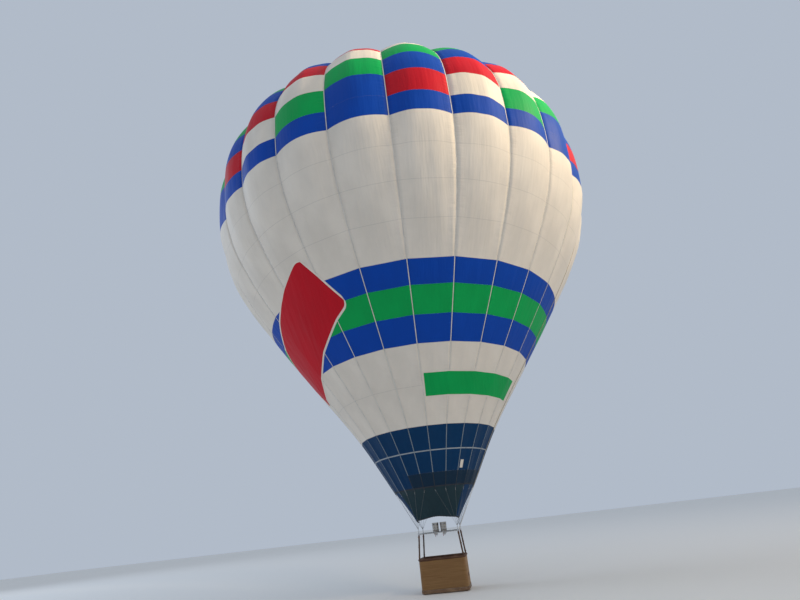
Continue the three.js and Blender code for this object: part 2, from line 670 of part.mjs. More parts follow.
// Four fuel cylinders, standing on the floor in the corners
function fuelCylinder(corner) {
  const { r, height, x, y, neck_r: neckR, neck_height: neckHeight, sides } = CYLINDER;
  const low = WALL_Z;
  const top = low + height;
  const dome = [0, 30, 60].map((angle) => [
    r * Math.cos(rad(angle)),
    top - CYLINDER_DOME * (1 - Math.sin(rad(angle))),
  ]);
  return turned([
    [0, low], [r - CYLINDER_FOOT.inset, low], [r, low + CYLINDER_FOOT.rise], ...dome,
    [neckR, top], [neckR, top + neckHeight], [0, top + neckHeight],
  ], sides).translate(corner.x * x, corner.y * y, 0);
}
for (const corner of CORNERS) piece(`fuel_cylinder_${corner.name}`, fuelCylinder(corner), 'jacket');

export default balloon;
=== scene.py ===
import math

import bmesh
import bpy
import numpy as np
from mathutils import Euler, Matrix, Vector


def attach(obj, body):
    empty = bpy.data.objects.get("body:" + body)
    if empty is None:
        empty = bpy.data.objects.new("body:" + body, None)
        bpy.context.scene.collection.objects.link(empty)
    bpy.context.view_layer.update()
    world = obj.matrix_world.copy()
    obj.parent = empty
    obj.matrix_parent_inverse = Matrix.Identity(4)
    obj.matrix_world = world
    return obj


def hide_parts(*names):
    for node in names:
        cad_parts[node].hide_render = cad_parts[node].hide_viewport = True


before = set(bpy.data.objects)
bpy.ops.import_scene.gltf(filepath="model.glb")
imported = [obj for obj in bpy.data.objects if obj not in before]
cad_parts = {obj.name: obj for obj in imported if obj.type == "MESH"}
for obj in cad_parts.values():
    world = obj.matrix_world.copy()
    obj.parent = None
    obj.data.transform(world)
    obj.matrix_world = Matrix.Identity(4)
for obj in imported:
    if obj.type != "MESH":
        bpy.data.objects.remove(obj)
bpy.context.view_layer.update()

# The envelope, in metres, as the frame has it
GORES = 24
GORE_TURN = 2 * math.pi / GORES
MOUTH_Z, MOUTH_R = 3.61, 1.665
NAVY_TOP_Z = 5.72
EQUATOR_Z, EQUATOR_R = 17.53, 9.13
CROWN_RISE = 6.61
VENT_EDGE_R = 2.3
CROWN_TAPE_R = 0.1643
CLOTH_HALF = 0.005          # half the thickness of the envelope's shell
TAPE_WIDTH = 0.03
TAPE_HALF = 0.007           # half the thickness of a tape with the cloth that it holds
TAPE_TAIL = 0.09            # how far a load tape hangs below the mouth
PALE_RING_Z, PALE_RING_WIDTH = 4.88, 0.045
EDGE_RING_WIDTH = 0.05      # of the ring tapes at the mouth and round the vent
DARK_STITCH_HALF = 0.02     # the dark tapes are stitched like a tape of this half width
# Columns: height, radius over the load tapes, sag of the cloth between two tapes as a share of its chord
LOWER_PROFILE = [
    (MOUTH_Z, MOUTH_R, 0.0),
    (NAVY_TOP_Z, 2.93, 0.0),
    (8.35, 4.87, 0.008),
    (10.9, 6.75, 0.03),
    (12.61, 7.87, 0.07),
    (14.22, 8.66, 0.1),
    (15.62, 9.01, 0.13),
    (EQUATOR_Z, EQUATOR_R, 0.14),
]
# Columns: angle above the equator in degrees, sag
UPPER_PROFILE = [(19, 0.14), (37, 0.14), (53, 0.13), (66, 0.1)]
# How finely the profile is measured: up to the equator, up to the vent, up to the crown
LOWER_POINTS, UPPER_POINTS, VENT_POINTS = 500, 400, 100
NORMAL_STEP = 0.02          # either side of a point where its outward way is measured

# Colours of the cloth up to the stepped crown. Columns: lowest height, colour
BANDS = [
    (MOUTH_Z, "navy"),
    (NAVY_TOP_Z, "white"),
    (8.35, "blue"),
    (9.23, "green"),
    (10.12, "blue"),
    (10.9, "white"),
    (15.62, "blue"),
]
DARK_GORES = [23, 0, 1, 2, 3, 4, 5]             # gores whose foot is darker
DARK_TOP_Z = 4.12
STEPS_Z = 16.5              # lowest height of the stepped crown
STEP_RISE = 1.12            # length of one step along the cloth
STEP_COLOURS = ["red", "white", "green", "blue"]
STEP_LEVELS = 4
FIRST_STEP_GORE = 21        # the gore whose lowest step is red
VENT_BAND = 1.5             # length of the blue band below the vent
TOP_PANELS = 3              # panels of the white crown above the steps
EXTRA_SEAMS = [PALE_RING_Z, 7.04, 12.08, 13.26, 14.44]

# Folds of the cloth. Depths are in metres, waves in radians a metre for gathers and a gore for pleats
FULL_SAG = 0.14             # the sag at which the cloth is at its fullest
GORE_PHASE = 2.4            # shifts the folds from one gore to the next
GATHER_DEPTH, GATHER_WAVE, GATHER_REACH = 0.015, 7.4, 0.2
GATHER_EDGE = 0.08          # the gathers fade in over this distance from a tape
PLEAT_DEPTH, PLEAT_LEAST, PLEAT_WAVE = 0.014, 0.002, 15.7
GORE_COLUMNS = 15
ROW_SPACING = 0.17

# The photograph's camera
CAMERA_PLACE = (2.531, -20.499, 2.287)
CAMERA_YAW = -8.51
CAMERA_PITCH = 26.7
CAMERA_ROLL = -6.62
LENS = 20.38
SENSOR = 36.0
CLIP_END = 500


def linked(name, data):
    made = bpy.data.objects.new(name, data)
    bpy.context.scene.collection.objects.link(made)
    return made


def make_camera():
    yaw, pitch, roll = map(math.radians, (CAMERA_YAW, CAMERA_PITCH, CAMERA_ROLL))
    ahead = Vector((math.sin(yaw) * math.cos(pitch), math.cos(yaw) * math.cos(pitch), math.sin(pitch)))
    level = Vector((math.cos(yaw), -math.sin(yaw), 0))
    upright = level.cross(ahead)
    right = level * math.cos(roll) + upright * math.sin(roll)
    up = upright * math.cos(roll) - level * math.sin(roll)
    data = bpy.data.cameras.new("camera")
    data.lens = LENS
    data.sensor_width = SENSOR
    data.clip_end = CLIP_END
    camera = linked("camera", data)
    rows = [(right[i], up[i], -ahead[i], CAMERA_PLACE[i]) for i in range(3)]
    camera.matrix_world = Matrix([*rows, (0, 0, 0, 1)])
    bpy.context.scene.camera = camera


make_camera()


# Node trees


class Tree:
    """A node tree with short ways to add a node and feed its inputs."""

    def __init__(self, tree):
        self.tree = tree

    def add(self, kind, inputs=None, out=0, **settings):
        node = self.tree.nodes.new(kind)
        for name, value in settings.items():
            setattr(node, name, value)
        for key, value in (inputs or {}).items():
            if isinstance(value, bpy.types.NodeSocket):
                self.tree.links.new(value, node.inputs[key])
            else:
                node.inputs[key].default_value = value
        return node.outputs[out]

    def math(self, operation, a, b=0.0):
        return self.add("ShaderNodeMath", {0: a, 1: b}, operation=operation)

    def times(self, a, b):
        return self.math("MULTIPLY", a, b)

    def plus(self, a, b):
        return self.math("ADD", a, b)

    def minus(self, a, b):
        return self.math("SUBTRACT", a, b)

    def size(self, a):
        return self.math("ABSOLUTE", a)

    def total(self, *terms):
        """Sum of values, each with its weight."""
        first, *others = [self.times(value, weight) for value, weight in terms]
        for other in others:
            first = self.plus(first, other)
        return first

    def zigzag(self, value, rate):
        """Runs up and down between 0 and 1."""
        return self.math("PINGPONG", self.times(value, rate), 1.0)

    def vector(self, x, y, z=0.0):
        return self.add("ShaderNodeCombineXYZ", {0: x, 1: y, 2: z})

    def parts(self, vector):
        return self.add("ShaderNodeSeparateXYZ", {0: vector}).node.outputs

    def ramp(self, value, low, high, to_low=0.0, to_high=1.0):
        return self.add(
            "ShaderNodeMapRange",
            {"Value": value, "From Min": low, "From Max": high, "To Min": to_low, "To Max": to_high},
            interpolation_type="SMOOTHSTEP",
        )

    def thread_line(self, distance, middle):
        """A line of sewing where a distance is near its middle."""
        return self.ramp(self.size(self.minus(distance, middle)), THREAD_HALF, 2 * THREAD_HALF, 1.0, 0.0)

    def noise(self, place, scale, detail=3.0, roughness=0.5):
        inputs = {"Vector": place, "Scale": scale, "Detail": detail, "Roughness": roughness}
        return self.add("ShaderNodeTexNoise", inputs)

    def grain(self, x, x_rate, y, y_rate, detail=3.0):
        """Noise with its own rate each way."""
        return self.noise(self.vector(self.times(x, x_rate), self.times(y, y_rate)), 1.0, detail)

    def spread(self, noise, low, high):
        """Brings the range that noise mostly keeps to, to another one."""
        return self.ramp(noise, 0.3, 0.7, low, high)

    def tint(self, amount, colour, other, blend="MIX"):
        inputs = {"Factor": amount, 6: colour, 7: other}
        return self.add("ShaderNodeMix", inputs, out=2, data_type="RGBA", blend_type=blend)

    def shaded(self, colour, shade):
        grey = self.add("ShaderNodeCombineColor", {0: shade, 1: shade, 2: shade})
        return self.tint(1.0, colour, grey, blend="MULTIPLY")

    def attribute(self, name, out="Fac"):
        return self.add("ShaderNodeAttribute", out=out, attribute_name=name)

    def place(self):
        return self.add("ShaderNodeTexCoord", out="Object")

    def across_and_along(self):
        return self.parts(self.add("ShaderNodeUVMap", uv_map="cloth"))[:2]


def opaque(value):
    """A colour with its alpha of 1, or a number as it is."""
    return (*value, 1) if isinstance(value, tuple) else value


def shader_group(build, defaults):
    """A shader node group named like the function that builds it. A default of three numbers is a colour."""
    group = bpy.data.node_groups.new(build.__name__, "ShaderNodeTree")
    for label, value in defaults.items():
        kind = "NodeSocketColor" if isinstance(value, tuple) else "NodeSocketFloat"
        group.interface.new_socket(label, in_out="INPUT", socket_type=kind).default_value = opaque(value)
    for label, kind in (("Color", "Color"), ("Roughness", "Float"), ("Height", "Float")):
        group.interface.new_socket(label, in_out="OUTPUT", socket_type="NodeSocket" + kind)
    made = build(Tree(group), group.nodes.new("NodeGroupInput").outputs)
    target = group.nodes.new("NodeGroupOutput")
    for label, socket in zip(("Color", "Roughness", "Height"), made):
        group.links.new(socket, target.inputs[label])
    return group


def material(name, group, values, **shader):
    """A material whose colour, roughness and height come from a group, and its other sockets from shader."""
    made = bpy.data.materials.new(name)
    made.use_nodes = True
    links = made.node_tree.links
    principled = made.node_tree.nodes["Principled BSDF"]
    effect = made.node_tree.nodes.new("ShaderNodeGroup")
    effect.node_tree = group
    for label, value in values.items():
        effect.inputs[label].default_value = opaque(value)
    inputs = {"Height": effect.outputs["Height"], "Distance": 1.0, "Strength": 1.0}
    bump = Tree(made.node_tree).add("ShaderNodeBump", inputs)
    links.new(effect.outputs["Color"], principled.inputs["Base Color"])
    links.new(effect.outputs["Roughness"], principled.inputs["Roughness"])
    links.new(bump, principled.inputs["Normal"])
    for label, value in shader.items():
        principled.inputs[label.replace("_", " ")].default_value = value
    return made


# Looks. Sizes in metres, rates in turns or half waves a metre
THREAD_HALF = 0.0006
GATHERED = 0.42             # how far the fine gathers run off a load tape
# Half width and soft edge of a seam's band, which is raised by SEAM_RISE and carries a painted shade
SEAM_HALF, SEAM_EDGE, SEAM_RISE = 0.009, 0.003, 0.0006
SEAM_STITCHES = 0.006       # from the middle of a seam to its stitches
TAPE_STITCHES = 0.004       # from the edge of a tape to its stitches
STITCH_RATE = 140.0
RIPSTOP_RATE, RIPSTOP_RISE = 160.0, 0.00006
RIB_RATE, DASH_RATE = 500.0, 240.0


def envelope_cloth(tree, given):
    """Ripstop nylon: fine grid, sewn panel seams with a painted shade along each, gathers along the load
    tapes, soft fading.
    """
    across, along = tree.across_and_along()
    seam = tree.attribute("seam")
    near_tape = tree.ramp(tree.attribute("edge"), 0.0, GATHERED, 1.0, 0.0)
    gathers = tree.times(tree.grain(across, 1.6, along, 7.0), near_tape)
    pleats = tree.grain(across, 3.4, along, 0.35)
    seam_and_shade = tree.ramp(seam, SEAM_HALF, SEAM_HALF + SEAM_EDGE, 1.0, 0.0)
    dashes = tree.ramp(tree.math("FRACT", tree.times(across, STITCH_RATE)), 0.55, 0.65)
    stitches = tree.times(tree.thread_line(seam, SEAM_STITCHES), dashes)
    lines = [tree.ramp(tree.zigzag(way, RIPSTOP_RATE), 0.86, 1.0) for way in (across, along)]
    grid = tree.math("MAXIMUM", *lines)
    fade = tree.noise(tree.vector(across, tree.times(along, 0.6)), 0.9, detail=4.0)
    shade = tree.spread(fade, 0.93, 1.04)
    # Painted shade: each seam's band is 14% darker, standing in for the crease there; the ripstop grid's
    # lines are 3% darker
    for mask, darker in ((seam_and_shade, 0.14), (grid, 0.03)):
        shade = tree.times(shade, tree.minus(1.0, tree.times(mask, darker)))
    colour = tree.tint(tree.times(stitches, 0.5), tree.shaded(given["Cloth"], shade), given["Thread"])
    raised = [(gathers, given["Gathers"]), (pleats, given["Pleats"])]
    height = tree.total(*raised, (seam_and_shade, SEAM_RISE), (grid, RIPSTOP_RISE))
    return colour, tree.spread(fade, 0.46, 0.58), height


def metal_finish(tree, given):
    """Drawn, cast or welded metal: fine scratches, smudges and duller patches."""
    place = tree.place()
    fine = tree.noise(place, 260.0, detail=4.0)
    smudge = tree.noise(place, 13.0, detail=4.0)
    rough = tree.plus(given["Roughness"], tree.times(tree.minus(smudge, 0.5), given["Smudges"]))
    rough = tree.plus(rough, tree.times(fine, 0.06))
    return tree.shaded(given["Tone"], tree.spread(smudge, 0.8, 1.06)), rough, tree.times(fine, 0.00006)


def twisted_strands(tree, given):
    """Strands twisted round each other, along a rod, with painted shade in the grooves between them."""
    sides = tree.parts(tree.attribute("round", "Vector"))
    turn = tree.math("ARCTAN2", sides[1], sides[0])
    phase = tree.total((turn, given["Strands"]), (tree.attribute("along"), given["Twist"]))
    strand_and_groove_shade = tree.size(tree.math("SINE", tree.times(phase, 0.5)))
    wear = tree.noise(tree.place(), 30.0)
    # Painted shade: down to 45% in the grooves between strands; the wear noise is the rope's own
    shade = tree.times(tree.ramp(strand_and_groove_shade, 0.0, 0.6, 0.45, 1.0), tree.spread(wear, 0.85, 1.1))
    return tree.shaded(given["Tone"], shade), tree.spread(wear, 0.42, 0.6), tree.times(strand_and_groove_shade, given["Depth"])


def webbing_weave(tree, given):
    """Woven tape: ribs across it with painted shade in their grooves, stitched edges and a little dirt."""
    across, along = tree.across_and_along()
    ribs_and_groove_shade = tree.zigzag(tree.plus(along, tree.size(across)), RIB_RATE)
    edge = tree.minus(given["Half Width"], tree.size(across))
    dashes = tree.ramp(tree.zigzag(along, DASH_RATE), 0.3, 0.45)
    stitches = tree.times(tree.thread_line(edge, TAPE_STITCHES), dashes)
    dirt = tree.noise(tree.place(), 3.0, detail=5.0)
    # Dirt darkens at random; the ribs carry a painted shade, 10% darker in their grooves
    shade = tree.times(tree.ramp(dirt, 0.3, 0.75, 1.04, 0.82), tree.ramp(ribs_and_groove_shade, 0.0, 1.0, 0.9, 1.03))
    colour = tree.tint(tree.times(stitches, 0.7), tree.shaded(given["Tone"], shade), given["Thread"])
    return colour, tree.spread(dirt, 0.7, 0.85), tree.total((ribs_and_groove_shade, 0.0002), (stitches, 0.0004))


def hide_grain(tree, given):
    """Leather: pebbled grain, creases with painted shade in them, and a paler worn tone on what is rubbed."""
    place = tree.place()
    pebble = tree.add("ShaderNodeTexVoronoi", {"Vector": place, "Scale": given["Grain"]})
    crease_and_shade = tree.noise(place, 9.0, detail=6.0, roughness=0.6)
    rubbed = tree.ramp(tree.noise(place, 4.0, detail=5.0), 0.45, 0.72)
    colour = tree.tint(tree.times(rubbed, 0.55), given["Tone"], given["Worn"])
    # Painted shade: darker where the creases sink, down to 72%
    colour = tree.shaded(colour, tree.spread(crease_and_shade, 0.72, 1.08))
    return colour, tree.ramp(rubbed, 0.0, 1.0, 0.62, 0.42), tree.total((pebble, 0.0005), (crease_and_shade, 0.003))


def wood_grain(tree, given):
    """Sawn wood with its grain along X."""
    rings = tree.add("ShaderNodeMapping", {"Vector": tree.place(), "Scale": (1.2, 14.0, 14.0)})
    rings = tree.noise(rings, 2.6, detail=5.0, roughness=0.6)
    fibre = tree.add("ShaderNodeMapping", {"Vector": tree.place(), "Scale": (4.0, 160.0, 160.0)})
    fibre = tree.noise(fibre, 1.0, detail=2.0)
    colour = tree.tint(tree.ramp(rings, 0.35, 0.65), given["Tone"], given["Dark"])
    colour = tree.shaded(colour, tree.spread(fibre, 0.82, 1.06))
    return colour, tree.spread(rings, 0.6, 0.75), tree.times(fibre, 0.0004)


def cane_grain(tree, given):
    """Peeled cane: each rod has its own tone, with fine fibres and darker joints."""
    along, row = tree.attribute("along"), tree.attribute("row")
    tone = tree.grain(row, 3.7, along, 0.9, detail=2.0)
    joint = tree.grain(row, 9.1, along, 9.0, detail=1.0)
    fibre = tree.grain(row, 31.0, along, 60.0)
    colour = tree.tint(tree.spread(tone, 0.0, 1.0), given["Tone"], given["Other"])
    colour = tree.tint(tree.ramp(joint, 0.66, 0.74, 0.0, 0.6), colour, given["Joint"])
    colour = tree.shaded(colour, tree.spread(fibre, 0.85, 1.08))
    return colour, tree.spread(tone, 0.45, 0.62), tree.times(fibre, 0.0004)


def quilted_cloth(tree, given):
    """Heavy woven cloth over padding: weave, soft creases with painted shade in them, and a dusty bloom."""
    place = tree.place()
    weave = tree.add("ShaderNodeTexChecker", {"Vector": place, "Scale": 900.0}, out="Fac")
    crease_and_shade = tree.noise(place, given["Creases"], detail=4.0, roughness=0.55)
    dust = tree.ramp(tree.noise(place, 2.5, detail=5.0), 0.4, 0.75)
    colour = tree.tint(tree.times(dust, 0.22), given["Tone"], given["Dust"])
    # Painted shade: darker where the creases sink, down to 82%; the dust is real
    colour = tree.shaded(colour, tree.spread(crease_and_shade, 0.82, 1.1))
    height = tree.total((weave, 0.00015), (crease_and_shade, given["Depth"]))
    return colour, tree.ramp(dust, 0.0, 1.0, 0.72, 0.9), height


NYLON = shader_group(
    envelope_cloth,
    {"Cloth": (0.8, 0.8, 0.8), "Thread": (0.7, 0.7, 0.68), "Gathers": 0.03, "Pleats": 0.03},
)
METAL = shader_group(metal_finish, {"Tone": (0.6, 0.6, 0.6), "Roughness": 0.3, "Smudges": 0.3})
STRANDS = shader_group(
    twisted_strands,
    {"Tone": (0.5, 0.5, 0.5), "Strands": 6.0, "Twist": 300.0, "Depth": 0.001},
)
WEBBING = shader_group(
    webbing_weave,
    {"Tone": (0.7, 0.7, 0.7), "Thread": (0.75, 0.74, 0.7), "Half Width": TAPE_WIDTH / 2},
)
HIDE = shader_group(hide_grain, {"Tone": (0.1, 0.05, 0.03), "Worn": (0.2, 0.12, 0.07), "Grain": 260.0})
WOOD = shader_group(wood_grain, {"Tone": (0.45, 0.3, 0.17), "Dark": (0.27, 0.16, 0.08)})
CANE = shader_group(
    cane_grain,
    {"Tone": (0.5, 0.3, 0.14), "Other": (0.36, 0.2, 0.09), "Joint": (0.12, 0.06, 0.03)},
)
QUILT = shader_group(
    quilted_cloth,
    {"Tone": (0.02, 0.04, 0.1), "Dust": (0.3, 0.3, 0.3), "Creases": 12.0, "Depth": 0.004},
)

CLOTH_COLOURS = {
    "white": (0.80, 0.73, 0.635),
    "blue": (0.001, 0.060, 0.40),
    "green": (0.001, 0.38, 0.085),
    "red": (0.56, 0.008, 0.020),
    "navy": (0.001, 0.038, 0.115),
    "dusk": (0.008, 0.030, 0.062),
    "grey": (0.022, 0.049, 0.062),
}
CLOTH = {
    name: material(f"cloth_{name}", NYLON, {"Cloth": colour}, Specular_IOR_Level=0.12)
    for name, colour in CLOTH_COLOURS.items()
}


def metal(name, tone, roughness, smudges=0.3, metallic=1.0):
    values = {"Tone": tone, "Roughness": roughness, "Smudges": smudges}
    return material(name, METAL, values, Metallic=metallic)


STEEL = metal("stainless_steel", (0.55, 0.55, 0.54), 0.24)
ALUMINIUM = metal("aluminium", (0.62, 0.63, 0.65), 0.36)
BLACK_STEEL = metal("black_steel", (0.03, 0.03, 0.032), 0.42, metallic=0.2)
BRASS = metal("brass", (0.55, 0.37, 0.13), 0.28)
RED_HANDLE = metal("red_handle", (0.42, 0.02, 0.015), 0.4, smudges=0.15, metallic=0.0)
BURNER_CAN = metal("burner_can", (0.50, 0.47, 0.43), 0.3, smudges=0.5)
COIL = metal("heated_coil", (0.30, 0.20, 0.15), 0.38, smudges=0.5)
DIAL = metal("dial", (0.75, 0.75, 0.72), 0.35, smudges=0.1, metallic=0.0)
CABLE = material(
    "cable", STRANDS, {"Tone": (0.22, 0.22, 0.22), "Twist": 320.0, "Depth": 0.0012}, Metallic=0.85
)
ROPE = material("rope", STRANDS, {"Tone": (0.62, 0.52, 0.34), "Strands": 3.0, "Twist": 260.0, "Depth": 0.002})
TAPE = material("tape", WEBBING, {"Tone": (0.76, 0.72, 0.65)})
NAVY_TAPE = material("navy_tape", WEBBING, {"Tone": (0.20, 0.25, 0.29)})
PALE_TAPE = material("pale_tape", WEBBING, {"Tone": (0.38, 0.42, 0.45), "Half Width": PALE_RING_WIDTH / 2})
DARK_TAPE = material(
    "dark_tape", WEBBING,
    {"Tone": (0.022, 0.03, 0.042), "Thread": (0.1, 0.12, 0.15), "Half Width": DARK_STITCH_HALF},
)
LEATHER = material("leather", HIDE, {"Tone": (0.085, 0.032, 0.014), "Worn": (0.21, 0.10, 0.045)})
SUEDE = material("suede", HIDE, {"Tone": (0.17, 0.09, 0.045), "Worn": (0.30, 0.19, 0.10), "Grain": 420.0})
HARDWOOD = material("hardwood", WOOD, {"Tone": (0.30, 0.18, 0.09), "Dark": (0.17, 0.09, 0.045)})
PLYWOOD = material("plywood", WOOD, {"Tone": (0.50, 0.35, 0.19), "Dark": (0.38, 0.24, 0.12)})
WILLOW = material("willow", CANE, {"Tone": (0.46, 0.27, 0.11), "Other": (0.30, 0.155, 0.06)})
STAKE = material("stake_cane", CANE, {"Tone": (0.33, 0.18, 0.075), "Other": (0.22, 0.11, 0.045)})
JACKET = material("jacket", QUILT, {"Tone": (0.01, 0.025, 0.085)}, Sheen_Weight=0.2)
BLACK_WEB = material("black_webbing", QUILT, {"Tone": (0.012, 0.012, 0.013), "Creases": 40.0, "Depth": 0.001})
THREAD = material("pale_thread", QUILT, {"Tone": (0.6, 0.56, 0.46), "Creases": 90.0, "Depth": 0.0002})
PAD = material("sleeve_padding", QUILT, {"Tone": (0.085, 0.035, 0.016), "Creases": 22.0, "Depth": 0.003})


# Meshes


def keep_on_points(data, attributes):
    """Keeps named values or ways on a mesh's points."""
    for label, values in attributes.items():
        values = np.asarray(values, np.float32)
        kind, field = ("FLOAT_VECTOR", "vector") if values.ndim == 2 else ("FLOAT", "value")
        data.attributes.new(label, kind, "POINT").data.foreach_set(field, values.ravel())


def mesh_object(name, points, faces, looks, indices=None, uv=None, attributes=None):
    """An object at the origin from arrays of points and faces, with one UV per point."""
    data = bpy.data.meshes.new(name)
    data.from_pydata(np.asarray(points, float).tolist(), [], [tuple(map(int, face)) for face in faces])
    for look in looks:
        data.materials.append(look)
    if indices is not None:
        data.polygons.foreach_set("material_index", np.asarray(indices, np.int32))
    if uv is not None:
        corners = np.zeros(len(data.loops), np.int32)
        data.loops.foreach_get("vertex_index", corners)
        layer = data.uv_layers.new(name="cloth")
        layer.data.foreach_set("uv", np.asarray(uv, np.float32)[corners].ravel())
    keep_on_points(data, attributes or {})
    data.shade_smooth()
    data.update()
    return linked(name, data)


def grid_faces(rows, columns, first=0, flipped=False):
    """Faces of a grid of points stored row by row, seen from the side where columns run to the right."""
    i, j = np.meshgrid(np.arange(rows - 1), np.arange(columns - 1), indexing="ij")
    a = first + i * columns + j
    faces = np.stack([a, a + 1, a + 1 + columns, a + columns], -1).reshape(-1, 4)
    return faces[:, ::-1] if flipped else faces


def tube_faces(rows, sides, closed=False):
    """Faces round rings of points stored ring by ring. A closed tube joins its last ring to its first."""
    i, j = np.meshgrid(np.arange(rows if closed else rows - 1), np.arange(sides), indexing="ij")
    low, high = i * sides, (i + 1) % rows * sides
    after = (j + 1) % sides
    return np.stack([low + j, low + after, high + after, high + j], -1).reshape(-1, 4)


def rim_faces(ring, count):
    """Faces that join a closed ring of points to the same ring count points on."""
    after = np.roll(ring, -1)
    return np.stack([ring, ring + count, after + count, after], -1)


def shell_faces(rows, columns):
    """Faces of a closed shell between two grids of the same size, the outer one first."""
    count = rows * columns
    ring = np.concatenate([
        np.arange(columns),
        np.arange(1, rows) * columns + columns - 1,
        (rows - 1) * columns + np.arange(columns - 2, -1, -1),
        np.arange(rows - 2, 0, -1) * columns,
    ])
    inner = grid_faces(rows, columns, first=count, flipped=True)
    return np.concatenate([grid_faces(rows, columns), inner, rim_faces(ring, count)])


def cloth_shell(name, points_at, half, looks, uv, cells=0, rim=0, attributes=None):
    """A closed shell from a function that gives a grid of points at a lift off the middle of its cloth.

    uv holds the grid's distances across and along, cells the look of each cell, and rim that of the edge.
    """
    rows, columns = uv[0].shape
    points = np.concatenate([points_at(lift).reshape(-1, 3) for lift in (half, -half)])
    faces = shell_faces(rows, columns)
    cells = np.broadcast_to(cells, (rows - 1, columns - 1)).ravel()
    indices = np.concatenate([cells, cells, np.full(len(faces) - 2 * len(cells), rim)])
    uv = np.tile(np.stack(uv, -1).reshape(-1, 2), (2, 1))
    attributes = {label: np.tile(values.ravel(), 2) for label, values in (attributes or {}).items()}
    return mesh_object(name, points, faces, looks, indices, uv, attributes)


# The envelope's profile, measured by the length s along it from the mouth


def smooth_through(rows, x):
    """A monotone cubic through rows of x and y, level at its last one."""
    xs, ys = np.array(rows, float).T
    run = np.diff(xs)
    slope = np.diff(ys) / run
    tangent = np.zeros_like(ys)
    tangent[0] = slope[0]
    same_way = slope[:-1] * slope[1:] > 0
    w1, w2 = 2 * run[1:] + run[:-1], run[1:] + 2 * run[:-1]
    with np.errstate(divide="ignore", invalid="ignore"):
        mean = (w1 + w2) / (w1 / slope[:-1] + w2 / slope[1:])
    tangent[1:-1] = np.where(same_way, mean, 0)
    i = np.clip(np.searchsorted(xs, x) - 1, 0, len(run) - 1)
    t = (x - xs[i]) / run[i]
    return (
        ys[i] * (1 + 2 * t) * (1 - t) ** 2
        + tangent[i] * run[i] * t * (1 - t) ** 2
        + ys[i + 1] * t**2 * (3 - 2 * t)
        - tangent[i + 1] * run[i] * t**2 * (1 - t)
    )


def at(azimuth, r, z):
    """Points at azimuths measured from -Y towards +X."""
    return np.stack(np.broadcast_arrays(r * np.sin(azimuth), -r * np.cos(azimuth), z), -1)


low_z = np.linspace(MOUTH_Z, EQUATOR_Z, LOWER_POINTS)
low_r = smooth_through([row[:2] for row in LOWER_PROFILE], low_z)
vent_angle = math.acos(VENT_EDGE_R / EQUATOR_R)
crown_angle = math.acos(CROWN_TAPE_R / EQUATOR_R)
high_angle = np.concatenate([
    np.linspace(0, vent_angle, UPPER_POINTS)[1:],
    np.linspace(vent_angle, crown_angle, VENT_POINTS)[1:],
])
run_z, run_r = np.subtract(LOWER_PROFILE[1], LOWER_PROFILE[0])[:2]
RUN = np.array([run_r, run_z]) / math.hypot(run_r, run_z)   # the way of the cloth at the mouth
high_r, high_z = EQUATOR_R * np.cos(high_angle), EQUATOR_Z + CROWN_RISE * np.sin(high_angle)
PROFILE_R = np.concatenate([[MOUTH_R - TAPE_TAIL * RUN[0]], low_r, high_r])
PROFILE_Z = np.concatenate([[MOUTH_Z - TAPE_TAIL * RUN[1]], low_z, high_z])
PROFILE_S = np.concatenate([[0], np.cumsum(np.hypot(np.diff(PROFILE_R), np.diff(PROFILE_Z)))]) - TAPE_TAIL


def s_of(z):
    return float(np.interp(z, PROFILE_Z, PROFILE_S))


def s_at_angle(angle):
    """Length s at an angle above the equator."""
    return s_of(EQUATOR_Z + CROWN_RISE * math.sin(angle))


VENT_S = s_at_angle(vent_angle)
CROWN_S = float(PROFILE_S[-1])
SAG_ROWS = [
    *((s_of(z), sag) for z, _, sag in LOWER_PROFILE),
    *((s_at_angle(math.radians(angle)), sag) for angle, sag in UPPER_PROFILE),
    (VENT_S, 0.0),
]


def place_at(s):
    """Radius and height at lengths s along the profile."""
    s = np.clip(s, -TAPE_TAIL, CROWN_S)
    return np.interp(s, PROFILE_S, PROFILE_R), np.interp(s, PROFILE_S, PROFILE_Z)


def profile(s):
    """Radius, height and outward way (radial, upward) at lengths s along the profile."""
    s = np.asarray(s, float)
    dr, dz = np.subtract(place_at(s + NORMAL_STEP), place_at(s - NORMAL_STEP))
    length = np.hypot(dr, dz)
    return *place_at(s), dz / length, -dr / length


def sag_at(s):
    return smooth_through(SAG_ROWS, np.clip(s, 0, VENT_S))


def gore_width(s):
    """Width of a gore, straight across between its two load tapes."""
    return 2 * place_at(s)[0] * math.sin(GORE_TURN / 2)


def to_tape(share, s):
    """Distance to the nearer load tape."""
    return np.minimum(share, 1 - share) * gore_width(s)


def tape_azimuth(k):
    return (k - 0.5) * GORE_TURN


def gore_name(gore):
    return f"gore_{gore % GORES + 1:02d}"


def skin(gore, share, s, lift):
    """Points of the cloth. share runs from a gore's left tape to its right one, lift is outwards."""
    left, right = tape_azimuth(gore), tape_azimuth(gore + 1)
    r, z, out_r, out_z = profile(s)
    share = np.asarray(share, float)
    foot = at(left, r, z) * (1 - share)[..., None] + at(right, r, z) * share[..., None]
    rise = 4 * sag_at(s) * gore_width(s) * share * (1 - share) + lift
    return foot + at((left + right) / 2, out_r, out_z) * np.asarray(rise)[..., None]


